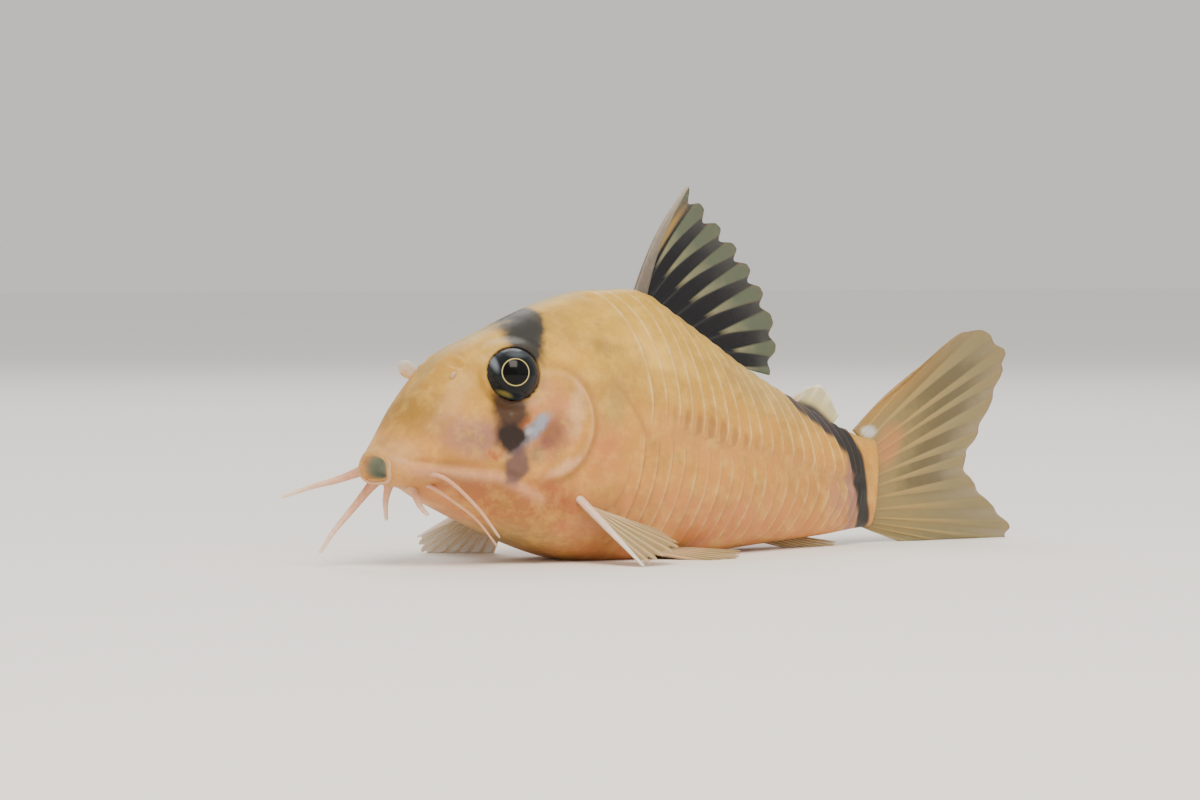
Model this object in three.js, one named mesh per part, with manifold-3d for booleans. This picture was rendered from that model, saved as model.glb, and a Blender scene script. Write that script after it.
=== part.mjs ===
// A bandit corydoras catfish resting on the bottom, life size, in millimetres.
// The fish is laid out straight, head towards -X and left side towards -Y, then pitched and bent.
// Places on the straight fish are [along, across, up] in shares of the standard length.
import * as THREE from "three";
import Module from "manifold-3d";

const wasm = await Module();
wasm.setup();

// Driving dimensions
const standardLength = 46;
const gap = 0.3; // clearance between neighbouring pieces, mm
const noseUp = 6.2; // pitch of the whole fish, degrees
const pitchAt = 0.5; // share of the length about which it pitches
const sinkShare = 0.01; // how far the belly would press into the floor before it is cut flat
const headTurn = 1; // heading of the head, trunk's end and tail fin, degrees
const trunkTurn = 4;
const tailTurn = -5;

// Scutes: two rows a side between the gill opening and the tail root
const firstScute = 0.352;
const lastScute = 0.985;
const scuteCount = 23;
const scuteRise = 0.2; // height of a scute's free edge, mm
const scuteLean = 2.4; // how many scutes an upper edge leans back by at the side line
const tailCut = 14; // scute at which the tail root is parted from the trunk
const scuteSteps = [0, 0.5, 0.9]; // places across one scute: its seat, its middle and its free edge

const mm = (share) => share * standardLength;
const radians = THREE.MathUtils.degToRad;
const clamp = THREE.MathUtils.clamp;
const mix = THREE.MathUtils.lerp;

function ease(from, to, x) {
  const t = clamp((x - from) / (to - from), 0, 1);
  return t * t * (3 - 2 * t);
}

// Pose

// The bent line of the backbone: place and heading at each share of the length.
const spineLine = (() => {
  const step = 0.005;
  const line = [];
  let x = 0;
  let y = 0;
  for (let at = -0.2; at < 1.5; at += step) {
    const turn =
      radians(headTurn) +
      radians(trunkTurn - headTurn) * ease(0.38, 0.88, at) +
      radians(tailTurn - trunkTurn) * ease(0.9, 1.1, at);
    line.push({ at, x, y, turn });
    x += Math.cos(turn) * step;
    y += Math.sin(turn) * step;
  }
  const centre = line.find(({ at }) => at > pitchAt - step / 2);
  return line.map((p) => ({ ...p, x: p.x - centre.x + pitchAt, y: p.y - centre.y }));
})();

function spineAt(at) {
  const step = spineLine[1].at - spineLine[0].at;
  const place = clamp((at - spineLine[0].at) / step, 0, spineLine.length - 1.001);
  const a = spineLine[Math.floor(place)];
  const b = spineLine[Math.floor(place) + 1];
  const t = place % 1;
  return { x: mix(a.x, b.x, t), y: mix(a.y, b.y, t), turn: mix(a.turn, b.turn, t) };
}

// Takes a point of the straight fish, in shares, to its place in the pose, in mm.
function pose([along, across, up]) {
  const tilt = radians(noseUp);
  const level = pitchAt + (along - pitchAt) * Math.cos(tilt) + up * Math.sin(tilt);
  const height = up * Math.cos(tilt) - (along - pitchAt) * Math.sin(tilt) - sinkShare;
  const line = spineAt(level);
  return new THREE.Vector3(
    mm(line.x - Math.sin(line.turn) * across),
    mm(line.y + Math.cos(line.turn) * across),
    mm(height),
  );
}

// Body

// Back line, belly line and half width at shares of the length, as shares of the length.
const profile = [
  { at: 0.0, back: 0.112, belly: 0.112, half: 0.0 },
  { at: 0.004, back: 0.126, belly: 0.096, half: 0.024 },
  { at: 0.016, back: 0.142, belly: 0.088, half: 0.041 },
  { at: 0.04, back: 0.175, belly: 0.083, half: 0.056 },
  { at: 0.08, back: 0.232, belly: 0.08, half: 0.072 },
  { at: 0.13, back: 0.284, belly: 0.064, half: 0.087 },
  { at: 0.2, back: 0.323, belly: 0.042, half: 0.101 },
  { at: 0.28, back: 0.367, belly: 0.018, half: 0.115 },
  { at: 0.36, back: 0.4, belly: 0.0, half: 0.124 },
  { at: 0.42, back: 0.41, belly: -0.004, half: 0.126 },
  { at: 0.478, back: 0.415, belly: -0.003, half: 0.123 },
  { at: 0.53, back: 0.395, belly: 0.004, half: 0.116 },
  { at: 0.62, back: 0.355, belly: 0.02, half: 0.1 },
  { at: 0.7, back: 0.319, belly: 0.036, half: 0.083 },
  { at: 0.8, back: 0.283, belly: 0.054, half: 0.061 },
  { at: 0.9, back: 0.249, belly: 0.071, half: 0.041 },
  { at: 0.96, back: 0.235, belly: 0.084, half: 0.029 },
  { at: 1.0, back: 0.231, belly: 0.092, half: 0.02 },
];
const snoutSet = 0.022; // how far the blunt snout is set back from the start of the profile
const waistShare = 0.4; // level of the widest point, as a share of the depth

// A smooth curve through the profile's places, over the square root of the length so that the
// snout is round.
function profileAt(along, key) {
  const r = Math.sqrt(clamp(along, 0, 1));
  const knots = profile.map((p) => Math.sqrt(p.at));
  let i = 0;
  while (i < knots.length - 2 && knots[i + 1] < r) i++;
  const slope = (k) => {
    const a = Math.max(k - 1, 0);
    const b = Math.min(k + 1, knots.length - 1);
    return (profile[b][key] - profile[a][key]) / (knots[b] - knots[a]);
  };
  const width = knots[i + 1] - knots[i];
  const t = (r - knots[i]) / width;
  return (
    profile[i][key] * (1 + 2 * t) * (1 - t) ** 2 +
    profile[i + 1][key] * t * t * (3 - 2 * t) +
    slope(i) * width * t * (1 - t) ** 2 +
    slope(i + 1) * width * t * t * (t - 1)
  );
}

// A point of the skin: angle 0 is the back, a quarter turn is the left side, half a turn is the belly.
function skinPoint(along, angle) {
  const back = profileAt(along, "back");
  const belly = profileAt(along, "belly");
  const half = profileAt(along, "half");
  const waist = mix(belly, back, waistShare);
  const up = Math.cos(angle);
  const side = Math.sin(angle);
  const boxy =
    up < 0
      ? mix(0.95, 0.72, ease(0.02, 0.3, along))
      : mix(0.95, 1.08, ease(0.1, 0.5, along));
  const across = half * Math.sign(side) * Math.abs(side) ** boxy;
  const height =
    up >= 0
      ? waist + (back - waist) * up ** 0.97
      : waist - (waist - belly) * Math.abs(up) ** boxy;
  return [along + snoutSet * (1 - ease(0, 0.16, along)), -across, height];
}

function skinNormal(along, angle) {
  const e = 1e-3;
  const from = (a, b) => new THREE.Vector3(...skinPoint(a, b));
  const safe = Math.max(along, 2 * e);
  const alongSkin = from(Math.min(safe + e, 1), angle).sub(from(safe - e, angle));
  const roundSkin = from(safe, angle + e).sub(from(safe, angle - e));
  return roundSkin.cross(alongSkin).normalize();
}

// A point raised off the skin by a height in mm.
function raisedPoint(along, angle, rise) {
  const p = skinPoint(along, angle);
  const n = skinNormal(along, angle);
  const share = rise / standardLength;
  return [p[0] + n.x * share, p[1] + n.y * share, p[2] + n.z * share];
}

// Solids from grids

function solidFrom(points, faces) {
  const vertProperties = new Float32Array(points.flatMap((p) => [p.x, p.y, p.z]));
  const triVerts = new Uint32Array(faces.flat());
  const mesh = new wasm.Mesh({ numProp: 3, vertProperties, triVerts });
  mesh.merge();
  const solid = new wasm.Manifold(mesh);
  if (solid.volume() > 0) return solid;
  const turned = new Uint32Array(faces.flatMap(([a, b, c]) => [a, c, b]));
  return new wasm.Manifold(new wasm.Mesh({ numProp: 3, vertProperties, triVerts: turned }));
}

// Closed rings of points joined in order, each end closed by a fan to its own middle.
function ringSolid(rings) {
  const points = rings.flat();
  const count = rings[0].length;
  const faces = [];
  for (let i = 0; i + 1 < rings.length; i++) {
    for (let j = 0; j < count; j++) {
      const a = i * count + j;
      const b = i * count + ((j + 1) % count);
      faces.push([a, b, b + count], [a, b + count, a + count]);
    }
  }
  for (const [ring, flip] of [[0, true], [rings.length - 1, false]]) {
    const middle = new THREE.Vector3();
    rings[ring].forEach((p) => middle.addScaledVector(p, 1 / count));
    points.push(middle);
    for (let j = 0; j < count; j++) {
      const a = ring * count + j;
      const b = ring * count + ((j + 1) % count);
      faces.push(flip ? [b, a, points.length - 1] : [a, b, points.length - 1]);
    }
  }
  return solidFrom(points, faces);
}

const largest = (solid) => solid.decompose().sort((a, b) => b.volume() - a.volume())[0];
const aboveFloor = (solid) => solid.trimByPlane([0, 0, 1], 0);
const ringAngles = (count) => Array.from({ length: count }, (_, j) => (2 * Math.PI * j) / count);

// Scute rows

const scutePitch = (lastScute - firstScute) / scuteCount;
const sideLine = Math.PI * 0.45; // angle at which the upper and lower rows meet
const bellyEdge = Math.PI * 0.8; // angle at which the lower row ends

const fold = (angle) => Math.min(angle, 2 * Math.PI - angle);

// How many scutes further back an edge lies at this angle than at the back line.
function scuteSkew(angle) {
  const a = fold(angle);
  if (a <= sideLine) return scuteLean * Math.sin((0.5 * Math.PI * a) / sideLine) ** 1.4;
  return scuteLean - 0.5 - 0.9 * ease(sideLine, bellyEdge, a);
}

// Share of the full rise that a scute has at this angle: none at the groove, on the back and below.
function scuteShare(angle) {
  const a = fold(angle);
  const groove = ease(0.01, 0.16, Math.abs(a - sideLine));
  return groove * ease(0.05, 0.3, a) * (1 - ease(bellyEdge - 0.25, bellyEdge, a));
}

// Where a scute's seat crosses this angle; the lean dies out towards the square end of the tail root.
function scutePlace(scute, angle) {
  const base = Math.min(firstScute + scutePitch * scute, 1);
  return Math.min(base + scutePitch * scuteSkew(angle) * (1 - ease(0.8, 1, base)), 1);
}

function scuteRing(scute, angles, shift) {
  const within = scute - Math.floor(scute + 1e-6);
  const free = scuteSteps[scuteSteps.length - 1];
  const fade = 1 - ease(0.93, lastScute, firstScute + scutePitch * scute);
  return angles.map((angle) => {
    const rise = scuteRise * scuteShare(angle) * (within / free) ** 0.8 * fade;
    return pose(raisedPoint(Math.min(scutePlace(scute, angle) + shift, 1), angle, rise));
  });
}

// The rings from one scute to another, each scute rising to its free rear edge.
function scuteRings(from, to, angles, shift = 0) {
  const rings = [];
  for (let whole = from; whole < to; whole++) {
    for (const step of scuteSteps) {
      if (whole + step < to) rings.push(scuteRing(whole + step, angles, shift));
    }
  }
  rings.push(scuteRing(to, angles, shift));
  return rings;
}

// Head

const eye = { at: [0.217, 0, 0.262], radius: 0.0415, bulge: 0.42, depth: 0.8 };
const opercle = { along: 0.272, up: 0.194, long: 0.066, tall: 0.086, lean: -0.25, rise: 0.28 };
const mouth = { at: [0.03, 0, 0.109], half: [0.028, 0.027, 0.018], turn: -0.05 };
const lipRadius = 0.0085;

// Raised cover of the gill, with a sharp rear edge, seen from the side.
function headRise(along, angle) {
  const p = skinPoint(along, angle);
  const dx = p[0] - opercle.along;
  const dz = p[2] - opercle.up;
  const u = (dx * Math.cos(opercle.lean) + dz * Math.sin(opercle.lean)) / opercle.long;
  const v = (dz * Math.cos(opercle.lean) - dx * Math.sin(opercle.lean)) / opercle.tall;
  const reach = Math.hypot(u, v);
  const plate = 1 - ease(0.86, 1.02, reach);
  return opercle.rise * plate * mix(0.35, 1, ease(-1, 0.6, u));
}

function headSolid() {
  const angles = ringAngles(44);
  const steps = 32;
  const rings = [];
  for (let i = 1; i <= steps; i++) {
    const share = (i / steps) ** 1.7;
    const flatEnd = 1 - ease(0.97, 1, share);
    rings.push(
      angles.map((angle) => {
        const end = scutePlace(0, angle) - gap / standardLength;
        const along = mix(0.0006, end, share);
        return pose(raisedPoint(along, angle, headRise(along, angle) * flatEnd));
      }),
    );
  }
  return ringSolid(rings);
}

// An oval ball set out from a middle and three half sizes, in shares.
function ball(middle, half, rows = 12, columns = 20, turn = new THREE.Euler()) {
  const rings = [];
  for (let i = 0; i <= rows; i++) {
    const down = Math.PI * mix(0.02, 0.98, i / rows);
    rings.push(
      ringAngles(columns).map((a) => {
        const p = new THREE.Vector3(
          Math.sin(down) * Math.cos(a) * half[0],
          Math.sin(down) * Math.sin(a) * half[1],
          Math.cos(down) * half[2],
        ).applyEuler(turn);
        return pose([middle[0] + p.x, middle[1] + p.y, middle[2] + p.z]);
      }),
    );
  }
  return ringSolid(rings);
}

// A tapering round tube through places on the straight fish; radii in mm at its root and its tip.
function feeler(places, rootRadius, tipRadius, sides = 8, steps = 10) {
  const curve = new THREE.CatmullRomCurve3(places.map((p) => pose(p)));
  const frames = curve.computeFrenetFrames(steps);
  const rings = [];
  for (let i = 0; i <= steps; i++) {
    const t = i / steps;
    const radius = mix(rootRadius, tipRadius, t ** 0.8);
    const middle = curve.getPoint(t);
    rings.push(
      ringAngles(sides).map((a) =>
        middle
          .clone()
          .addScaledVector(frames.normals[i], Math.cos(a) * radius)
          .addScaledVector(frames.binormals[i], Math.sin(a) * radius),
      ),
    );
  }
  return ringSolid(rings);
}

// The ring of lip round the mouth, in the plane that the mouth faces along.
function lipSolid(radius = lipRadius) {
  const around = 20;
  const sides = 8;
  const turn = new THREE.Euler(0, mouth.turn, 0);
  const rings = [];
  for (let i = 0; i < around; i++) {
    const a = (2 * Math.PI * i) / around;
    rings.push(
      ringAngles(sides).map((b) => {
        const out = 1.15 + (Math.cos(b) * radius) / mouth.half[1];
        const p = new THREE.Vector3(
          0.003 + Math.sin(b) * radius,
          Math.sin(a) * mouth.half[1] * out,
          Math.cos(a) * (mouth.half[2] * 1.2 + Math.cos(b) * radius),
        ).applyEuler(turn);
        return pose([mouth.at[0] + p.x, mouth.at[1] + p.y, mouth.at[2] + p.z]);
      }),
    );
  }
  const points = rings.flat();
  const faces = [];
  for (let i = 0; i < around; i++) {
    for (let j = 0; j < sides; j++) {
      const a = i * sides + j;
      const b = i * sides + ((j + 1) % sides);
      const c = ((i + 1) % around) * sides + ((j + 1) % sides);
      const d = ((i + 1) % around) * sides + j;
      faces.push([a, b, c], [a, c, d]);
    }
  }
  return solidFrom(points, faces);
}

// Fins

// Even places along a curve through given places, with a share from 0 to 1.
function curveThrough(places) {
  const points = places.map((p) => new THREE.Vector3(...p));
  const curve = new THREE.CatmullRomCurve3(points, false, "catmullrom", 0.5);
  return (share) => curve.getPoint(clamp(share, 0, 1));
}

// A fin: a membrane from a root line to an edge line with a ridge for each ray, and a stout first
// spine if it has one. Half thicknesses in mm; the rest in shares of the ray or of the fish.
const plainFin = {
  rows: 6,
  membrane: 0.27,
  ridge: 0.12,
  spine: 0,
  sink: 0.12, // root buried in the body
  notch: 0.03, // membrane's edge behind the ray tips
  bow: 0, // sideways bow of the rays
  sweep: [0, 0], // bow of the first ray in the fin's plane, dying out to the last
};

function finSolid(fin) {
  const { root, edge, rays, rows, membrane, ridge, spine, sink, notch, bow, sweep } = {
    ...plainFin,
    ...fin,
  };
  const rootAt = curveThrough(root);
  const edgeAt = curveThrough(edge);
  const columns = [];
  for (let k = 0; k < rays; k++) {
    const middle = k / (rays - 1);
    const beside = 0.22 / (rays - 1);
    if (k > 0) columns.push({ share: middle - beside, ray: 0, first: false });
    columns.push({ share: middle, ray: 1, first: k === 0 });
    if (k < rays - 1) columns.push({ share: middle + beside, ray: 0, first: k === 0 });
  }
  const middleAt = (share, out) => {
    const p = rootAt(share).lerp(edgeAt(share), out);
    const arch = Math.sin(Math.PI * clamp(out, 0, 1));
    const front = arch * (1 - clamp(share, 0, 1));
    return pose([p.x + sweep[0] * front, p.y + bow * arch, p.z + sweep[1] * front]);
  };
  const faceSide = (sign) =>
    columns.map(({ share, ray, first }) => {
      const line = [];
      for (let i = 0; i <= rows; i++) {
        const out = mix(-sink, ray ? 1 : 1 - notch, i / rows);
        const e = 0.02;
        const before = middleAt(Math.max(share - e, 0), out);
        const across = middleAt(Math.min(share + e, 1), out).sub(before);
        const outward = middleAt(share, out + e).sub(middleAt(share, out - e));
        const normal = across.cross(outward).normalize();
        const taper = mix(1, 0.75, clamp(out, 0, 1));
        let half = membrane + (ray ? ridge : 0);
        if (first && ray) half += spine;
        line.push(middleAt(share, out).addScaledVector(normal, sign * half * taper));
      }
      return line;
    });
  const left = faceSide(1);
  const right = faceSide(-1);
  const points = [...left.flat(), ...right.flat()];
  const offset = left.length * (rows + 1);
  const at = (side, column, row) => side * offset + column * (rows + 1) + row;
  const faces = [];
  const quad = (a, b, c, d) => faces.push([a, b, c], [a, c, d]);
  for (let c = 0; c + 1 < columns.length; c++) {
    for (let r = 0; r < rows; r++) {
      quad(at(0, c, r), at(0, c + 1, r), at(0, c + 1, r + 1), at(0, c, r + 1));
      faces.push([at(1, c, r), at(1, c + 1, r + 1), at(1, c + 1, r)]);
      faces.push([at(1, c, r), at(1, c, r + 1), at(1, c + 1, r + 1)]);
    }
    quad(at(0, c, 0), at(1, c, 0), at(1, c + 1, 0), at(0, c + 1, 0));
    quad(at(0, c, rows), at(0, c + 1, rows), at(1, c + 1, rows), at(1, c, rows));
  }
  for (const [c, turned] of [[0, false], [columns.length - 1, true]]) {
    for (let r = 0; r < rows; r++) {
      const corners = [at(0, c, r), at(0, c, r + 1), at(1, c, r + 1), at(1, c, r)];
      if (turned) corners.reverse();
      quad(...corners);
    }
  }
  return solidFrom(points, faces);
}

const mirrored = (places) => places.map(([a, b, c]) => [a, -b, c]);

const dorsalFin = {
  root: [[0.484, 0, 0.417], [0.52, 0, 0.398], [0.6, 0, 0.363], [0.692, 0, 0.322]],
  edge: [
    [0.568, 0, 0.587], [0.612, 0, 0.55], [0.662, 0, 0.515], [0.706, 0, 0.476], [0.746, 0, 0.43],
    [0.775, 0, 0.37], [0.768, 0, 0.312],
  ],
  rays: 9,
  spine: 0.2,
  sink: 0.08,
  bow: 0.006,
  sweep: [-0.005, 0.004],
};
const adiposeFin = {
  root: [[0.816, 0, 0.277], [0.86, 0, 0.262], [0.905, 0, 0.247]],
  edge: [[0.85, 0, 0.301], [0.885, 0, 0.305], [0.921, 0, 0.262]],
  rays: 4,
  rows: 3,
  ridge: 0.05,
  spine: 0.12,
  sink: 0.35,
  notch: 0,
};
const caudalFin = {
  root: [
    [0.958, 0, 0.243], [1.0, 0, 0.215], [1.004, 0, 0.162], [1.002, 0, 0.108], [0.99, 0, 0.089],
  ],
  edge: [
    [1.066, 0, 0.345], [1.17, 0.004, 0.425], [1.246, 0.008, 0.4], [1.24, 0.006, 0.345],
    [1.205, 0, 0.262], [1.18, -0.004, 0.207], [1.225, 0, 0.16], [1.29, 0.008, 0.112],
    [1.25, 0.006, 0.077], [1.11, 0, 0.066],
  ],
  rays: 14,
  sink: 0.02,
  bow: 0.008,
};
const analFin = {
  root: [[0.782, 0, 0.052], [0.82, 0, 0.058], [0.852, 0, 0.064]],
  edge: [[0.86, -0.016, 0.0405], [0.905, -0.022, 0.048], [0.925, -0.016, 0.062]],
  rays: 6,
  rows: 4,
};
const pectoralFinLeft = {
  root: [
    [0.318, -0.108, 0.092], [0.325, -0.106, 0.088], [0.333, -0.104, 0.084], [0.34, -0.102, 0.08],
  ],
  edge: [
    [0.378, -0.214, -0.002], [0.41, -0.214, 0.014], [0.452, -0.2, 0.033], [0.45, -0.16, 0.052],
  ],
  rays: 7,
  spine: 0.2,
  sink: 0.25,
};
const pectoralFinRight = {
  root: [[0.33, 0.108, 0.092], [0.34, 0.107, 0.085], [0.35, 0.105, 0.076], [0.356, 0.1, 0.066]],
  edge: [
    [0.29, 0.245, 0.014], [0.305, 0.243, -0.014], [0.345, 0.226, -0.022], [0.395, 0.19, -0.012],
  ],
  rays: 7,
  spine: 0.2,
  sink: 0.25,
};
const pelvicFinLeft = {
  root: [[0.488, -0.086, 0.02], [0.51, -0.084, 0.024], [0.53, -0.08, 0.028]],
  edge: [[0.55, -0.158, 0.012], [0.6, -0.152, 0.022], [0.636, -0.118, 0.034]],
  rays: 6,
  rows: 4,
  spine: 0.06,
  sink: 0.25,
};
const pelvicFinRight = {
  ...pelvicFinLeft,
  root: mirrored(pelvicFinLeft.root),
  edge: mirrored(pelvicFinLeft.edge),
};

// Barbels and nostril flaps: places from root to tip, radii in mm at the two ends

const barbels = {
  barbel_right_upper: {
    places: [[0.046, 0.044, 0.104], [0.02, 0.07, 0.087], [-0.02, 0.082, 0.072], [-0.066, 0.088, 0.053]],
    radii: [0.42, 0.16],
  },
  barbel_right_lower: {
    places: [[0.066, 0.042, 0.09], [0.047, 0.062, 0.05], [0.018, 0.068, 0.01], [-0.002, 0.07, -0.024]],
    radii: [0.42, 0.16],
  },
  barbel_left_upper: {
    places: [[0.088, -0.058, 0.108], [0.11, -0.083, 0.098], [0.15, -0.105, 0.062], [0.187, -0.116, 0.021]],
    radii: [0.34, 0.16],
  },
  barbel_left_lower: {
    places: [[0.1, -0.046, 0.09], [0.117, -0.07, 0.075], [0.16, -0.088, 0.046], [0.2, -0.094, 0.008]],
    radii: [0.34, 0.16],
  },
  barbel_chin_right: {
    places: [[0.074, 0.018, 0.086], [0.078, 0.028, 0.058], [0.088, 0.036, 0.032]],
    radii: [0.34, 0.16],
  },
  barbel_chin_left: {
    places: [[0.088, -0.02, 0.086], [0.1, -0.03, 0.058], [0.114, -0.034, 0.045]],
    radii: [0.34, 0.16],
  },
};
const nostrilFlap = {
  places: [[0.13, 0.046, 0.24], [0.119, 0.054, 0.256], [0.105, 0.063, 0.27]],
  radii: [0.36, 0.55],
};

// Assembly

// The whole body swollen by the gap, for cutting what stands on it.
const swollenBody = (() => {
  const rings = [];
  const steps = 64;
  for (let i = 0; i <= steps; i++) {
    const along = mix(0.0006, 1, (i / steps) ** 1.5);
    rings.push(
      ringAngles(48).map((angle) => {
        const relief = along < firstScute ? headRise(along, angle) : scuteRise * scuteShare(angle);
        const p = raisedPoint(along, angle, relief + gap);
        return pose([i === steps ? p[0] + gap / standardLength : p[0], p[1], p[2]]);
      }),
    );
  }
  return ringSolid(rings).add(lipSolid(lipRadius + gap / standardLength));
})();
const offBody = (solid) => largest(aboveFloor(solid.subtract(swollenBody)));

// The outward side of the skin at the eye gives its across place.
function eyePlace(side) {
  let angle = 0.1;
  while (skinPoint(eye.at[0], angle)[2] > eye.at[2]) angle += 0.002;
  const across = Math.abs(skinPoint(eye.at[0], angle)[1]);
  return [eye.at[0], side * (across - eye.radius * eye.bulge), eye.at[2]];
}

const pieces = {};

let head = headSolid();
head = head.add(lipSolid());
head = head.subtract(ball(mouth.at, mouth.half, 10, 18, new THREE.Euler(0, mouth.turn, 0)));
for (const [name, side] of [["left", -1], ["right", 1]]) {
  const r = eye.radius;
  const middle = eyePlace(side);
  const clear = r + gap / standardLength;
  head = head.subtract(ball(middle, [clear, clear * eye.depth, clear], 12, 22));
  pieces["eye_" + name] = ball(middle, [r, r * eye.depth, r], 12, 20);
}
pieces.head = largest(aboveFloor(head));

const trunkRings = scuteRings(0, tailCut, ringAngles(44));
pieces.trunk = largest(aboveFloor(ringSolid(trunkRings)));
const tailRings = scuteRings(tailCut, scuteCount, ringAngles(32), gap / standardLength);
pieces.tail_root = largest(aboveFloor(ringSolid(tailRings)));

pieces.dorsal_fin = offBody(finSolid(dorsalFin));
pieces.adipose_fin = offBody(finSolid(adiposeFin));
pieces.anal_fin = offBody(finSolid(analFin));
pieces.caudal_fin = offBody(finSolid(caudalFin));
pieces.pectoral_fin_left = offBody(finSolid(pectoralFinLeft));
pieces.pectoral_fin_right = offBody(finSolid(pectoralFinRight));
pieces.pelvic_fin_left = offBody(finSolid(pelvicFinLeft));
pieces.pelvic_fin_right = offBody(finSolid(pelvicFinRight));
for (const [name, { places, radii }] of Object.entries(barbels)) {
  pieces[name] = offBody(feeler(places, ...radii));
}
const flapPlaces = { right: nostrilFlap.places, left: mirrored(nostrilFlap.places) };
for (const [side, places] of Object.entries(flapPlaces)) {
  pieces["nostril_flap_" + side] = offBody(feeler(places, ...nostrilFlap.radii, 10, 6));
}

// Materials

const skinTan = new THREE.MeshStandardMaterial({ color: 0xd9b27c, roughness: 0.35 });
const finClear = new THREE.MeshStandardMaterial({ color: 0xb7a77f, roughness: 0.4 });
const finDark = new THREE.MeshStandardMaterial({ color: 0x2a2828, roughness: 0.4 });
const eyeDark = new THREE.MeshStandardMaterial({ color: 0x1c2228, roughness: 0.08 });
const barbelPink = new THREE.MeshStandardMaterial({ color: 0xd8b49c, roughness: 0.35 });

function materialOf(name) {
  if (name.startsWith("eye")) return eyeDark;
  if (name === "dorsal_fin") return finDark;
  if (name.includes("fin")) return finClear;
  if (name.startsWith("barbel") || name.startsWith("nostril")) return barbelPink;
  return skinTan;
}

function meshOf(name, solid) {
  const made = solid.getMesh();
  const geometry = new THREE.BufferGeometry();
  geometry.setAttribute("position", new THREE.BufferAttribute(made.vertProperties.slice(), 3));
  geometry.setIndex(new THREE.BufferAttribute(made.triVerts.slice(), 1));
  const mesh = new THREE.Mesh(geometry, materialOf(name));
  mesh.name = name;
  return mesh;
}

const catfish = new THREE.Group();
for (const [name, solid] of Object.entries(pieces)) catfish.add(meshOf(name, solid));

// The fish stands with the middle of its outline over the origin.
const outline = new THREE.Box3().setFromObject(catfish);
const middle = outline.getCenter(new THREE.Vector3());
catfish.position.set(-middle.x, -middle.y, -outline.min.z);

export default catfish;
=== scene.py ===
import math
import bpy
import numpy as np
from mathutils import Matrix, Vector


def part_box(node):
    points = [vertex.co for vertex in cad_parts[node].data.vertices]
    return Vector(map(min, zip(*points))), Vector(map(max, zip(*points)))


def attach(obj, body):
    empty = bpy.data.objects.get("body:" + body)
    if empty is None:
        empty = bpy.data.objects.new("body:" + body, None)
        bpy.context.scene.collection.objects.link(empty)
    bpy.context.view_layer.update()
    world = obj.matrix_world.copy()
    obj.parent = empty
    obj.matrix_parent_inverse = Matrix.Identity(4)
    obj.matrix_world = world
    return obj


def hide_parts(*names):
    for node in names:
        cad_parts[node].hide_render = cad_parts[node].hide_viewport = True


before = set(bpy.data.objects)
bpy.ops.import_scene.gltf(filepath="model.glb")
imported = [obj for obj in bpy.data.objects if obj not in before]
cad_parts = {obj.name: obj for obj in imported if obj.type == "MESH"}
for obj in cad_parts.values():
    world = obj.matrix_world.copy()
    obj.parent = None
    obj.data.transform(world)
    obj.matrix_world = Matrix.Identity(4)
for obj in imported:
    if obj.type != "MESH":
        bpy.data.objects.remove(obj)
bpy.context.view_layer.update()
print("frame loaded")

# The fish is laid out straight and then posed. Straight places are (along, across, up) in shares of
# its length without the tail fin, snout at 0 and tail root at 1, left side towards -across.
fish = {
    "length": 0.046,        # snout to tail root, metres
    "noseUp": 6.2,          # pitch, degrees
    "pitchAt": 0.5,         # place that the pitch and the backbone's bend turn about
    "sink": 0.01,           # how far the belly presses into the floor
    "headTurn": 1.0,        # heading of the backbone at head, trunk and tail, degrees
    "trunkTurn": 4.0,
    "tailTurn": -5.0,
    "trunkBend": (.38, .88),        # where it bends from head to trunk
    "tailBend": (.9, 1.1),
}

# Back line, belly line and half width of the body at places along it.
profileAlong = np.array([0, .004, .016, .04, .08, .13, .2, .28, .36, .42, .478, .53, .62, .7, .8, .9, .96, 1])
profile = {
    "back": np.array([.112, .126, .142, .175, .232, .284, .323, .367, .4, .41, .415, .395, .355, .319,
                      .283, .249, .235, .231]),
    "belly": np.array([.112, .096, .088, .083, .08, .064, .042, .018, 0, -.004, -.003, .004, .02, .036,
                       .054, .071, .084, .092]),
    "half": np.array([0, .024, .041, .056, .072, .087, .101, .115, .124, .126, .123, .116, .1, .083,
                      .061, .041, .029, .02]),
}
snoutSet = 0.022            # how far the blunt snout is set back from the start of the profile
waistShare = 0.4            # level of the widest point, as a share of the depth
sectionPower = {"head": .95, "below": .72, "above": 1.08, "back": .97}     # under 1 the section is boxier

scutes = {
    "first": 0.352,         # where the first scute starts on the back
    "last": 0.985,
    "count": 23,
    "rise": 0.2,            # mm
    "lean": 2.4,            # scutes that an upper edge leans back by at the side line
    "sideLine": 0.45,       # angle of the groove, in half turns from the back
    "bellyEdge": 0.8,       # angle where the scutes end below
    "lowerShift": 0.5,      # the lower row is half a scute out of step
}
scutes["pitch"] = (scutes["last"] - scutes["first"]) / scutes["count"]


# Basic curves

def ease(low, high, x):
    # 0 up to low and 1 from high, in a smooth step 3tt - 2ttt
    t = np.clip((np.asarray(x, float) - low) / (high - low), 0, 1)
    return t * t * (3 - 2 * t)


def blend(a, b, t):
    # straight mix, a at 0 and b at 1
    return a + (b - a) * t


def mm(value):
    return value * 0.001 / fish["length"]   # millimetres as a share of the length


def unit(vectors):
    # each vector made one long
    return vectors / np.maximum(np.linalg.norm(vectors, axis=-1, keepdims=True), 1e-12)


def turns(count):
    # even angles round a full turn
    return np.linspace(0, 2 * np.pi, count, endpoint=False)


def bump(distance, width):
    # 1 at the middle, falling off as a bell on both sides
    return np.exp(-(distance / width) ** 2)


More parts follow.
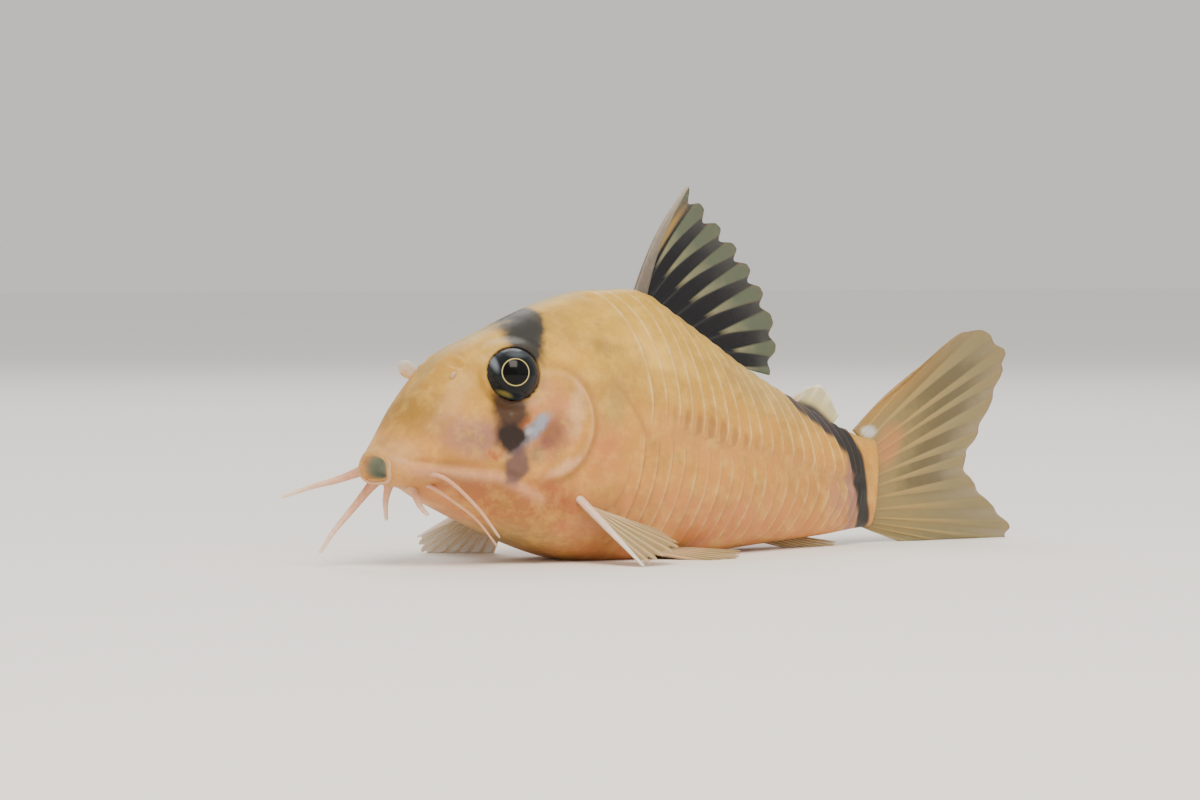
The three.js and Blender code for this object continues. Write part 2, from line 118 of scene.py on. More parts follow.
# Heading of the backbone summed along it gives its bent line, held at the pitch centre.
spineStep = 0.002
spineAlong = np.arange(-0.25, 1.55, spineStep)
spineTurn = np.radians(
    fish["headTurn"]
    + (fish["trunkTurn"] - fish["headTurn"]) * ease(*fish["trunkBend"], spineAlong)
    + (fish["tailTurn"] - fish["trunkTurn"]) * ease(*fish["tailBend"], spineAlong))
spineX = np.cumsum(np.cos(spineTurn)) * spineStep
spineY = np.cumsum(np.sin(spineTurn)) * spineStep
spineX += fish["pitchAt"] - np.interp(fish["pitchAt"], spineAlong, spineX)
spineY -= np.interp(fish["pitchAt"], spineAlong, spineY)


def poseShares(points):
    # pitch about a point on the floor, then set each section square to the bent backbone
    points = np.asarray(points, float)
    along, across, up = points[..., 0], points[..., 1], points[..., 2]
    tilt = math.radians(fish["noseUp"])
    level = fish["pitchAt"] + (along - fish["pitchAt"]) * math.cos(tilt) + up * math.sin(tilt)
    height = up * math.cos(tilt) - (along - fish["pitchAt"]) * math.sin(tilt) - fish["sink"]
    turn = np.interp(level, spineAlong, spineTurn)
    x = np.interp(level, spineAlong, spineX) - np.sin(turn) * across
    y = np.interp(level, spineAlong, spineY) + np.cos(turn) * across
    return np.stack([x, y, height], -1) * fish["length"]


def profileAt(along, key):
    # cubic through the profile's places over the square root of the length, so the snout is round
    knots = np.sqrt(profileAlong)
    values = profile[key]
    slopes = np.empty_like(values)
    slopes[1:-1] = (values[2:] - values[:-2]) / (knots[2:] - knots[:-2])
    slopes[0] = (values[1] - values[0]) / (knots[1] - knots[0])
    slopes[-1] = (values[-1] - values[-2]) / (knots[-1] - knots[-2])
    r = np.sqrt(np.clip(along, 0, 1))
    i = np.clip(np.searchsorted(knots, r, side="right") - 1, 0, len(knots) - 2)
    width = knots[i + 1] - knots[i]
    t = (r - knots[i]) / width
    return (values[i] * (1 + 2 * t) * (1 - t) ** 2 + values[i + 1] * t * t * (3 - 2 * t)
            + slopes[i] * width * t * (1 - t) ** 2 + slopes[i + 1] * width * t * t * (t - 1))


def skinPoint(along, angle):
    # a rounded section: angle 0 is the back, a quarter turn the left side, half a turn the belly
    back, belly, half = (profileAt(along, key) for key in ("back", "belly", "half"))
    waist = blend(belly, back, waistShare)
    up, side = np.cos(angle), np.sin(angle)
    low = blend(sectionPower["head"], sectionPower["below"], ease(0.02, 0.3, along))
    high = blend(sectionPower["head"], sectionPower["above"], ease(0.1, 0.5, along))
    boxy = np.where(up < 0, low, high)
    across = half * np.sign(side) * np.abs(side) ** boxy
    height = np.where(
        up >= 0,
        waist + (back - waist) * np.abs(up) ** sectionPower["back"],
        waist - (waist - belly) * np.abs(up) ** boxy)
    return np.stack([along + snoutSet * (1 - ease(0, 0.16, along)) + 0 * across, -across, height], -1)


def skinNormal(along, angle):
    # outward way, square to small steps along and around
    e = 1e-3
    safe = np.clip(along, 2 * e, 1)
    forward = skinPoint(np.minimum(safe + e, 1), angle) - skinPoint(safe - e, angle)
    around = skinPoint(safe, angle + e) - skinPoint(safe, angle - e)
    return unit(np.cross(around, forward))


def curveThrough(places, share):
    # smooth curve through even places, by the usual four-point cubic
    p = np.asarray(places, float)
    p = np.concatenate([2 * p[:1] - p[1:2], p, 2 * p[-1:] - p[-2:-1]])
    x = np.clip(share, 0, 1) * (len(p) - 3)
    i = np.minimum(x.astype(int), len(p) - 4)
    t = (x - i)[..., None]
    a, b, c, d = p[i], p[i + 1], p[i + 2], p[i + 3]
    return 0.5 * (2 * b + (c - a) * t + (2 * a - 5 * b + 4 * c - d) * t * t
                  + (3 * b - a - 3 * c + d) * t ** 3)


eye = {
    "along": 0.217,         # straight place of the ball's middle
    "up": 0.262,
    "radius": 0.0415,
    "bulge": 0.42,          # share of the radius that the ball's middle lies inside the skin
    "axis": (-.45, .88, .10),       # way the pupil looks on the right side
    "rimAxis": (-.38, .90, .16),    # way the socket faces
    "rimAt": .30,           # height of the socket's rim over the ball's middle, in radii
    "behind": -.3,          # and of the skin hidden behind the ball
}


def eyeMiddle(side):
    # the place on the skin at the eye's height, moved inwards by part of the ball's radius
    angles = np.linspace(0.1, 1.6, 1500)
    section = skinPoint(np.full(angles.shape, eye["along"]), angles)
    across = abs(section[np.argmin(abs(section[:, 2] - eye["up"])), 1])
    return np.array([eye["along"], side * (across - eye["radius"] * eye["bulge"]), eye["up"]])


def sideAxis(axis, side):
    # a way given for the right side, turned to this side and made one long
    return unit(np.array([axis[0], side * axis[1], axis[2]]))


# The shift from the posed place to the frame, from the left eye's ball.
eyeLow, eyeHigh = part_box("eye_left")
shift = np.array((eyeLow + eyeHigh) / 2) - poseShares(eyeMiddle(-1))
shift[2] = 0


def place(points):
    # straight places to places in the frame, metres
    return poseShares(points) + shift


def placeAbove(points, low=.00001):
    # the same, with nothing lower than this over the floor, metres
    posed = place(points)
    posed[..., 2] = np.maximum(posed[..., 2], low)
    return posed


# Meshes

def gridFaces(rows, columns, around):
    # four-sided faces of a grid of rows, closed into a tube where around is set
    r, c = np.meshgrid(np.arange(rows - 1), np.arange(columns if around else columns - 1), indexing="ij")
    n = (c + 1) % columns
    corners = [r * columns + c, r * columns + n, (r + 1) * columns + n, (r + 1) * columns + c]
    return np.stack(corners, -1).reshape(-1, 4)


def tubeFaces(rows, columns):
    # a tube's faces and the fans that close it to two extra points after the grid's own
    faces = gridFaces(rows, columns, True).tolist()
    ring = np.arange(columns)
    after = (ring + 1) % columns
    first, last = rows * columns, rows * columns + 1
    faces += np.stack([after, ring, np.full(columns, first)], -1).tolist()
    top = (rows - 1) * columns
    faces += np.stack([top + ring, top + after, np.full(columns, last)], -1).tolist()
    return faces


def withEnds(values):
    # a grid of rings as one list, then the middles of its first and last rings
    rings = np.asarray(values, float)
    return np.concatenate([rings.reshape(-1, *rings.shape[2:]), [rings[0].mean(0), rings[-1].mean(0)]])


def addMesh(name, points, faces, material, values):
    # a smooth piece at the origin that carries named values on its points
    mesh = bpy.data.meshes.new(name)
    mesh.from_pydata(np.asarray(points).reshape(-1, 3).tolist(), [], faces)
    for key, value in values.items():
        vector = value.ndim == 2
        layer = mesh.attributes.new(key, "FLOAT_VECTOR" if vector else "FLOAT", "POINT")
        layer.data.foreach_set("vector" if vector else "value", value.ravel())
    mesh.polygons.foreach_set("use_smooth", np.ones(len(mesh.polygons), bool))
    mesh.update()
    mesh.materials.append(material)
    piece = bpy.data.objects.new(name, mesh)
    bpy.context.scene.collection.objects.link(piece)
    return piece


def hold(piece, slot, *nodes):
    # the whole fish is one still body
    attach(piece, "root")
    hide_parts(*nodes)


# Materials

def colour(hexText):
    # sRGB hex to linear light
    rgb = np.array([int(hexText[i:i + 2], 16) for i in (1, 3, 5)]) / 255
    rgb = np.where(rgb <= 0.04045, rgb / 12.92, ((rgb + 0.055) / 1.055) ** 2.4)
    return (*rgb.tolist(), 1.0)


def addNode(tree, kind, inputs=None, **settings):
    # a node with its settings, and each input set to a value or linked to a socket; a colour mix takes
    # its share at 0, the colour underneath at 6 and the one laid over it at 7, and gives the mix at 2
    node = tree.nodes.new(kind)
    for key, value in settings.items():
        setattr(node, key, value)
    for key, value in (inputs or {}).items():
        if isinstance(value, bpy.types.NodeSocket):
            tree.links.new(value, node.inputs[key])
        else:
            node.inputs[key].default_value = value
    return node


def newMaterial(name, settings):
    # a material whose shader has these fixed settings
    material = bpy.data.materials.new(name)
    material.use_nodes = True
    tree = material.node_tree
    shader = tree.nodes["Principled BSDF"]
    for key, value in settings.items():
        shader.inputs[key].default_value = value
    return material, tree, shader


# A marking is a row: middle (along, up), half sizes (along, up), turn in degrees, colour and strength.
acrossAll = 10      # half size of a marking across the fish, so that it shows at any depth
skinLook = {
    # the back line colour is the dark line along the back, mixed with painted light where light shows through
    # the thin skin at the top outline
    "back": "#c9a03a", "flank": "#d2923f", "belly": "#c8804e",
    # the scute rim colour is a painted highlight on the scutes' rear edges, and the scute seam colour is
    # painted shade in the seam under each edge
    "speck": "#8e6238", "scuteRimHighlight": "#f4cf8e", "scuteSeamShade": "#a2673a", "sideSpot": "#865432",
    # the gill cover's groove colour is painted shade, its rim colour is a painted highlight, and the jaw fold
    # colour is a painted highlight along the fold's roll
    "coverGrooveShade": "#a0683e", "coverRimHighlight": "#e3b283", "jawFold": "#e2ab86", "backLineAndRimLight": "#8d8a62",
    "mouthInside": "#9aa38f",
    "mottling": [       # noise scale and roughness, range that shows, most of it and colour
        (420, .6, .42, .68, .6, "#ab8038"),         # 2.4 mm across
        (800, .65, .46, .72, .42, "#edc060"),       # 1.2 mm across
    ],
    "washes": [         # broad soft tints
        (.12, .27, .13, .10, 30, "#c09038", .85),
        (.07, .20, .06, .06, 30, "#957024", .85),
        (.175, .30, .05, .05, 0, "#c49a3e", .8),
        (.34, .36, .14, .07, 12, "#cfa53a", .85),
        (.30, .30, .07, .05, 0, "#dba438", .8),
        (.368, .318, .036, .022, 10, "#94732f", .85),
        (.148, .166, .085, .046, 0, "#9a6a6c", .95),
        (.04, .13, .05, .035, -20, "#cb9a68", .8),
        (.14, .10, .12, .03, 6, "#b17152", .8),
        (.21, .075, .13, .05, 18, "#a46236", .8),
        (.285, .085, .07, .04, 25, "#9c432e", .8),
        # painted shade: olive-brown under the throat and the front of the belly
        (.26, .02, .12, .035, 6, "#98804e", .85),
        (.37, .055, .06, .04, 0, "#cf9a72", .8),
        (.30, .355, .05, .03, -30, "#bf9434", .8),
        (.81, .15, .14, .07, 0, "#c48743", .8),
        (.262, .20, .07, .09, 14, "#d0865f", .95),
        (.305, .222, .022, .07, 12, "#e8b78a", .95),
        (.372, .23, .035, .08, 14, "#b3924c", .85),
        (.36, .165, .04, .06, 20, "#cf7f48", .85),
        (.46, .31, .10, .05, 14, "#ecbd58", .8),
        (.72, .28, .2, .05, 14, "#b5985a", .8),
        (.6, .07, .32, .07, -6, "#ce824d", .85),
        (.55, .19, .17, .05, 12, "#d89650", .7),
        (.9, .13, .06, .07, 0, "#b07c62", .75),
        (.266, .178, .036, .052, 30, "#7d4a43", .95),
        (.243, .150, .022, .022, 0, "#8c744e", .75),
        (.292, .135, .014, .05, 60, "#e6ac88", .85),
        (.224, .192, .014, .014, 0, "#b8451a", .95),
        (.176, .141, .018, .012, 0, "#b23f2c", .9),
        (.494, .164, .014, .011, 0, "#8a7c42", .6),
        (.217, .262, .056, .058, 0, "#8b7a66", .8),
    ],
    "silver": [         # the silvery streak below and behind the eye
        (.230, .177, .0165, .064, 45, "#7f838d", .85),
        (.250, .202, .010, .018, 45, "#98a0ae", .75),
        (.243, .186, .006, .022, 40, "#949caa", .75),
        (.229, .180, .005, .016, 50, "#a4acba", .75),
        (.215, .160, .007, .016, 45, "#a9adb8", .8),
    ],
    "dark": [           # the mask over and under the eye
        (.265, .350, .023, .036, 22, "#33322c", .96),
        (.252, .334, .027, .032, 24, "#2d2c28", .97),
        (.238, .310, .034, .044, 12, "#2b2a27", .98),
        (.199, .213, .039, .044, 0, "#38261e", .95),
        (.200, .170, .034, .030, 10, "#2b1c17", 1),
        (.216, .128, .025, .038, 12, "#5d444b", .85),
    ],
    "tail": [           # the band down to the tail root
        (.935, .15, .022, .10, -8, "#84606a", .6),
        (.972, .105, .020, .046, -20, "#2b2926", 1),
        (.956, .150, .022, .060, -12, "#2b2926", 1),
        (.940, .194, .026, .042, -22, "#2d2b28", 1),
        (.916, .224, .040, .026, 36, "#302e2c", 1),
        (.872, .246, .052, .021, 24, "#343236", .97),
        (.825, .266, .055, .019, 24, "#3b393c", .93),
    ],
}


def paintMarks(tree, under, marks, vector, soft):
    # one soft-edged oval for each marking, laid over what is under it
    for along, up, halfAlong, halfUp, turn, hexText, strength in marks:
        mapped = addNode(tree, "ShaderNodeMapping", {
            "Vector": vector,
            "Location": (along, 0, up),
            "Rotation": (0, math.radians(turn), 0),
            "Scale": (halfAlong, acrossAll, halfUp)}, vector_type="TEXTURE").outputs[0]
        oval = addNode(tree, "ShaderNodeTexGradient", {"Vector": mapped}, gradient_type="SPHERICAL")
        cover = addNode(tree, "ShaderNodeMapRange", {
            "Value": oval.outputs["Fac"], "From Min": 0.0, "From Max": soft, "To Max": strength},
            interpolation_type="SMOOTHSTEP").outputs[0]
        under = addNode(tree, "ShaderNodeMix", {
            0: cover, 6: under, 7: colour(hexText)}, data_type="RGBA").outputs[2]
    return under


def makeSkinMaterial():
    # Wet scaleless skin over bony scutes: soft light under the surface, a broad wet gloss and fine grain.
    material, tree, shader = newMaterial("wetCatfishSkin", {
        "IOR": 1.4, "Specular IOR Level": .38, "Coat Weight": .08, "Coat Roughness": .15,
        "Subsurface Weight": .3, "Subsurface Radius": (1.0, .6, .45), "Subsurface Scale": .0012})
    straight, plates, headPaintedLight = (
        addNode(tree, "ShaderNodeAttribute", attribute_name=name).outputs["Vector"]
        for name in ("straight", "plates", "headPaintedLight"))
    inside = addNode(tree, "ShaderNodeAttribute", attribute_name="mouthInside").outputs["Fac"]
    spot = addNode(tree, "ShaderNodeTexCoord").outputs["Object"]
    # noise 0.9 mm across shifts the places by up to 0.4 mm, which makes the markings' edges ragged
    ragged = addNode(tree, "ShaderNodeTexNoise", {"Vector": spot, "Scale": 1100, "Detail": 2.0})
    centred = addNode(tree, "ShaderNodeVectorMath", {
        0: ragged.outputs["Color"], 1: (.5, .5, .5)}, operation="SUBTRACT")
    warped = addNode(tree, "ShaderNodeVectorMath", {
        0: centred.outputs[0], 1: (.016, 0, .016), 2: straight}, operation="MULTIPLY_ADD").outputs[0]

    # belly to flank to back, by height
    up = addNode(tree, "ShaderNodeSeparateXYZ", {0: warped}).outputs["Z"]
    tone = colour(skinLook["belly"])
    for shade, low, high in (("flank", .03, .16), ("back", .17, .33)):
        share = addNode(tree, "ShaderNodeMapRange", {"Value": up, "From Min": low, "From Max": high},
                        interpolation_type="SMOOTHSTEP").outputs[0]
        tone = addNode(tree, "ShaderNodeMix", {
            0: share, 6: tone, 7: colour(skinLook[shade])}, data_type="RGBA").outputs[2]
    tone = paintMarks(tree, tone, skinLook["washes"], warped, .9)

    # broad brown mottling, finer pale blotches and brown pigment specks of 0.1 mm
    for scale, roughness, low, high, most, hexText in skinLook["mottling"]:
        blotch = addNode(tree, "ShaderNodeTexNoise", {
            "Vector": spot, "Scale": scale, "Detail": 4.0, "Roughness": roughness})
        amount = addNode(tree, "ShaderNodeMapRange", {
            "Value": blotch.outputs["Fac"], "From Min": low, "From Max": high, "To Max": most}).outputs[0]
        tone = addNode(tree, "ShaderNodeMix", {
            0: amount, 6: tone, 7: colour(hexText)}, data_type="RGBA").outputs[2]
    speck = addNode(tree, "ShaderNodeTexVoronoi", {"Vector": spot, "Scale": 4200})
    amount = addNode(tree, "ShaderNodeMapRange", {
        "Value": speck.outputs["Distance"], "From Min": .26, "From Max": .12, "To Max": .25}).outputs[0]
    tone = addNode(tree, "ShaderNodeMix", {
        0: amount, 6: tone, 7: colour(skinLook["speck"])}, data_type="RGBA").outputs[2]

    # scute edges: a fine pale rim that is a painted highlight, broken by the blotches and fainter on the
    # lower row, before a dark seam of painted shade
    plate = addNode(tree, "ShaderNodeSeparateXYZ", {0: plates})
    within = addNode(tree, "ShaderNodeMath", {0: plate.outputs["X"]}, operation="FRACT").outputs[0]
    patchy = addNode(tree, "ShaderNodeMapRange", {
        "Value": blotch.outputs["Fac"],
        "From Min": .36, "From Max": .62, "To Min": .15, "To Max": .85}).outputs[0]
    lowerFade = addNode(tree, "ShaderNodeMapRange", {
        "Value": plate.outputs["Y"],
        "From Min": -.03, "From Max": .04, "To Min": 1.0, "To Max": .5}).outputs[0]
    patchy = addNode(tree, "ShaderNodeMath", {0: patchy, 1: lowerFade}, operation="MULTIPLY").outputs[0]
    for low, high, strength, key in ((.7, .93, patchy, "scuteRimHighlight"), (.16, .02, .5, "scuteSeamShade")):
        cover = addNode(tree, "ShaderNodeMapRange", {"Value": within, "From Min": low, "From Max": high},
                        interpolation_type="SMOOTHSTEP").outputs[0]
        for factor in (plate.outputs["Z"], strength):
            cover = addNode(tree, "ShaderNodeMath", {0: cover, 1: factor}, operation="MULTIPLY").outputs[0]
        tone = addNode(tree, "ShaderNodeMix", {
            0: cover, 6: tone, 7: colour(skinLook[key])}, data_type="RGBA").outputs[2]

    # one brown spot on each scute under the side line, on the middle of the flank only
    middle = addNode(tree, "ShaderNodeMath", {0: within, 1: .5}, operation="SUBTRACT").outputs[0]
    onScute = addNode(tree, "ShaderNodeCombineXYZ", {"X": middle, "Y": plate.outputs["Y"]}).outputs[0]
    spots = 1
    for vector, at, half in ((onScute, (0, -.03, 0), (.36, .04, 1)),
                             (warped, (.585, 0, .215), (.15, acrossAll, .09))):
        mapped = addNode(tree, "ShaderNodeMapping", {"Vector": vector, "Location": at, "Scale": half},
                         vector_type="TEXTURE")
        oval = addNode(tree, "ShaderNodeTexGradient", {"Vector": mapped.outputs[0]},
                       gradient_type="SPHERICAL")
        spots = addNode(tree, "ShaderNodeMath", {0: spots, 1: oval.outputs["Fac"]},
                        operation="MULTIPLY").outputs[0]
    cover = addNode(tree, "ShaderNodeMapRange", {
        "Value": spots, "From Min": .05, "From Max": .45, "To Max": .45},
        interpolation_type="SMOOTHSTEP").outputs[0]
    tone = addNode(tree, "ShaderNodeMix", {
        0: cover, 6: tone, 7: colour(skinLook["sideSpot"])}, data_type="RGBA").outputs[2]

    # the head's painted light: painted shade in the dark groove behind the gill cover and in the shoulder
    # seam, a painted highlight on the cover's pale rim and another on the pale fold over the jaw
    paintedLight = addNode(tree, "ShaderNodeSeparateXYZ", {0: headPaintedLight})
    for axis, key in (("Y", "coverGrooveShade"), ("X", "coverRimHighlight"), ("Z", "jawFold")):
        tone = addNode(tree, "ShaderNodeMix", {
            0: paintedLight.outputs[axis], 6: tone, 7: colour(skinLook[key])}, data_type="RGBA").outputs[2]

    # the thin grey-green line of the back: partly the fish's own dark line along the back, and partly painted
    # light where light shows through the thin skin at the top outline
    across = addNode(tree, "ShaderNodeSeparateXYZ", {0: straight}).outputs["Y"]
    ridge = addNode(tree, "ShaderNodeMapRange", {
        "Value": across, "From Min": .022, "From Max": .004, "To Max": .4},
        interpolation_type="SMOOTHSTEP").outputs[0]
    onBack = addNode(tree, "ShaderNodeMapRange", {"Value": up, "From Min": .2, "From Max": .26}).outputs[0]
    cover = addNode(tree, "ShaderNodeMath", {0: ridge, 1: onBack}, operation="MULTIPLY").outputs[0]
    tone = addNode(tree, "ShaderNodeMix", {
        0: cover, 6: tone, 7: colour(skinLook["backLineAndRimLight"])}, data_type="RGBA").outputs[2]

    for key, vector, soft in (("silver", warped, .7), ("dark", warped, .5), ("tail", straight, .4)):
        tone = paintMarks(tree, tone, skinLook[key], vector, soft)
    deep = addNode(tree, "ShaderNodeMapRange", {"Value": inside, "From Min": .15, "From Max": .6}).outputs[0]
    tone = addNode(tree, "ShaderNodeMix", {
        0: deep, 6: tone, 7: colour(skinLook["mouthInside"])}, data_type="RGBA").outputs[2]
    tree.links.new(tone, shader.inputs["Base Color"])

    # shallow waves 1.1 mm across under grain of 0.2 mm, and a gloss that varies with the waves
    wave, grain = (addNode(tree, "ShaderNodeTexNoise", {
        "Vector": spot, "Scale": scale, "Detail": detail}).outputs["Fac"]
        for scale, detail in ((900, 3.0), (6000, 2.0)))
    waves = addNode(tree, "ShaderNodeBump", {"Height": wave, "Strength": .25, "Distance": .0002})
    grains = addNode(tree, "ShaderNodeBump", {
        "Height": grain, "Strength": .2, "Distance": .00004, "Normal": waves.outputs[0]})
    tree.links.new(grains.outputs[0], shader.inputs["Normal"])
    gloss = addNode(tree, "ShaderNodeMapRange", {"Value": wave, "To Min": .36, "To Max": .56}).outputs[0]
    tree.links.new(gloss, shader.inputs["Roughness"])
    return material


# Fins: "ray" and "membrane" are colours at the root and "rayEdge" and "edge" at the tips. The membrane
# changes at "darkTo" of the rays' length. The rays widen from "rayFrom" on to "rayGrow" of the gap at the
# edge. Markings are placed in rays from the front and in shares of the rays' length.
finLook = {
    "dorsal": {
        "ray": "#8a8563", "rayEdge": "#57604c", "membrane": "#0f0e12", "edge": "#3a3f33", "darkTo": 1.05,
        "rayFrom": .3, "rayGrow": .62, "rootAlpha": .99, "edgeAlpha": .7,
        "marks": [(.45, .45, .3, .6, 0, "#a68a4a", .85)]},
    "tail": {
        "ray": "#a68c55", "rayEdge": "#8c7f57", "membrane": "#927f50", "edge": "#877b53", "darkTo": .5,
        "rayFrom": 0, "rayGrow": .5, "rootAlpha": .98, "edgeAlpha": .72,
        # dark wedges between these rays, from this share of them outwards
        "streak": {"from": 1.6, "to": 8.2, "outFrom": .32, "colour": "#574d30"},
        "marks": [(0, .55, 2.3, .8, 0, "#a5803f", .9),
                  (4, .12, 2.4, .16, 0, "#c0824a", .7),
                  (1.3, .05, 1.1, .07, 0, "#dfe3e2", .6)]},
    "pale": {
        "ray": "#cfab84", "rayEdge": "#c9b184", "membrane": "#9d8453", "edge": "#a89566", "darkTo": .5,
        "rayFrom": 0, "rayGrow": .3, "rootAlpha": .92, "edgeAlpha": .5, "marks": []},
    "adipose": {
        "ray": "#d2c385", "rayEdge": "#ddd3a8", "membrane": "#c2b478", "edge": "#d2c89c", "darkTo": .5,
        "rayFrom": 0, "rayGrow": .4, "rootAlpha": 1, "edgeAlpha": .85,
        "marks": [(1.6, .0, 2.4, .34, 0, "#3d3540", .95),
                  (1.2, 1.0, 3, .16, 0, "#f2efe4", .8)]},
}


def makeFinMaterial(name, look):
    # Thin wet membrane between bony rays: tinted where the skin is, clearer towards its edge.
    material, tree, shader = newMaterial(name, {
        "Roughness": .35, "IOR": 1.38, "Subsurface Weight": .15, "Subsurface Scale": .0005})
    fin = addNode(tree, "ShaderNodeAttribute", attribute_name="finPlace").outputs["Vector"]
    spot = addNode(tree, "ShaderNodeTexCoord").outputs["Object"]
    noise = addNode(tree, "ShaderNodeTexNoise", {"Vector": spot, "Scale": 1300, "Detail": 3.0}).outputs["Fac"]
    parts = addNode(tree, "ShaderNodeSeparateXYZ", {0: fin})
    ray, out = parts.outputs["X"], parts.outputs["Z"]
    uneven = addNode(tree, "ShaderNodeMath", {0: noise, 1: .25, 2: out}, operation="MULTIPLY_ADD").outputs[0]

    # how far a place is from its nearest ray, less the ray's own half width, which grows outwards
    near = ray
    for operation in ("ADD", "FRACT", "SUBTRACT", "ABSOLUTE"):
        near = addNode(tree, "ShaderNodeMath", {0: near, 1: .5}, operation=operation).outputs[0]
    width = addNode(tree, "ShaderNodeMapRange", {
        "Value": out, "From Min": look["rayFrom"], "From Max": 1.0,
        "To Min": .03, "To Max": look["rayGrow"] / 2}).outputs[0]
    gapTo = addNode(tree, "ShaderNodeMath", {0: near, 1: width}, operation="SUBTRACT").outputs[0]
    between = addNode(tree, "ShaderNodeMapRange", {"Value": gapTo, "From Min": -.02, "From Max": .09},
                      interpolation_type="SMOOTHSTEP").outputs[0]
    start = addNode(tree, "ShaderNodeMapRange", {
        "Value": out, "From Min": look["rayFrom"] + .12, "From Max": look["rayFrom"] - .04}).outputs[0]
    between = addNode(tree, "ShaderNodeMath", {0: between, 1: start}, operation="MAXIMUM").outputs[0]

    fade = addNode(tree, "ShaderNodeMapRange", {
        "Value": uneven, "From Min": look["darkTo"] - .3, "From Max": look["darkTo"] + .25},
        interpolation_type="SMOOTHSTEP").outputs[0]
    membrane = addNode(tree, "ShaderNodeMix", {
        0: fade, 6: colour(look["membrane"]), 7: colour(look["edge"])}, data_type="RGBA").outputs[2]
    if "streak" in look:
        streak = look["streak"]
        cover = .7
        for value, low, high in (
                (ray, streak["from"] - .3, streak["from"] + .3),
                (ray, streak["to"] + .3, streak["to"] - .3),
                (uneven, streak["outFrom"], streak["outFrom"] + .3),
                (uneven, 1.05, .82)):
            share = addNode(tree, "ShaderNodeMapRange", {
                "Value": value, "From Min": low, "From Max": high}).outputs[0]
            cover = addNode(tree, "ShaderNodeMath", {0: cover, 1: share}, operation="MULTIPLY").outputs[0]
        membrane = addNode(tree, "ShaderNodeMix", {
            0: cover, 6: membrane, 7: colour(streak["colour"])}, data_type="RGBA").outputs[2]
    fade = addNode(tree, "ShaderNodeMapRange", {"Value": uneven, "From Min": .4, "From Max": .85}).outputs[0]
    rayTone = addNode(tree, "ShaderNodeMix", {
        0: fade, 6: colour(look["ray"]), 7: colour(look["rayEdge"])}, data_type="RGBA").outputs[2]
    tone = addNode(tree, "ShaderNodeMix", {
        0: between, 6: rayTone, 7: membrane}, data_type="RGBA").outputs[2]
    tone = paintMarks(tree, tone, look["marks"], fin, .7)
    tree.links.new(tone, shader.inputs["Base Color"])

    outAlpha = addNode(tree, "ShaderNodeMapRange", {
        "Value": uneven, "From Min": .45, "From Max": 1.1,
        "To Min": look["rootAlpha"], "To Max": look["edgeAlpha"]}).outputs[0]
    rayAlpha = addNode(tree, "ShaderNodeMapRange", {"Value": between, "To Min": .15, "To Max": 0}).outputs[0]
    alpha = addNode(tree, "ShaderNodeMath", {0: outAlpha, 1: rayAlpha},
                    operation="ADD", use_clamp=True).outputs[0]
    tree.links.new(alpha, shader.inputs["Alpha"])
    fine = addNode(tree, "ShaderNodeBump", {"Height": noise, "Strength": .2, "Distance": .0001})
    tree.links.new(fine.outputs[0], shader.inputs["Normal"])
    return material


def makeFleshMaterial(name, root, tip):
    # Soft bare skin or living bone: its colour changes unevenly from the root to the tip.
    material, tree, shader = newMaterial(name, {
        "Roughness": .35, "IOR": 1.4,
        "Subsurface Weight": .5, "Subsurface Radius": (1.0, .6, .5), "Subsurface Scale": .0008})
    out = addNode(tree, "ShaderNodeAttribute", attribute_name="reach").outputs["Fac"]
    spot = addNode(tree, "ShaderNodeTexCoord").outputs["Object"]
    noise = addNode(tree, "ShaderNodeTexNoise", {"Vector": spot, "Scale": 2200, "Detail": 2.0}).outputs["Fac"]
    uneven = addNode(tree, "ShaderNodeMath", {0: noise, 1: .5, 2: out}, operation="MULTIPLY_ADD").outputs[0]
    share = addNode(tree, "ShaderNodeMapRange", {"Value": uneven, "From Min": .4, "From Max": 1.2}).outputs[0]
    tone = addNode(tree, "ShaderNodeMix", {
        0: share, 6: colour(root), 7: colour(tip)}, data_type="RGBA").outputs[2]
    tree.links.new(tone, shader.inputs["Base Color"])
    fine = addNode(tree, "ShaderNodeBump", {"Height": noise, "Strength": .25, "Distance": .00008})
    tree.links.new(fine.outputs[0], shader.inputs["Normal"])
    return material


# Colours of the eye by the angle from the pupil's middle, 1 at a quarter turn, and its markings, placed
# on the disc in radii (towards the tail, up).
eyeRings = [(0, "#000000"), (.304, "#010101"), (.313, "#dccd88"), (.328, "#a8955e"), (.340, "#0f1214"),
            (.55, "#191e23"), (.72, "#2b3239"), (.80, "#101214"), (.90, "#3a3d3f"), (1, "#8a8578")]
eyeMarks = [
    (.0, .66, .5, .2, 0, "#4d5359", .8),
    (-.78, .36, .18, .6, -22, "#7b8390", .8),
    (-.30, -.76, .46, .12, 16, "#8d8444", .75),
    (.35, -.88, .4, .08, -20, "#4b5258", .6),
]


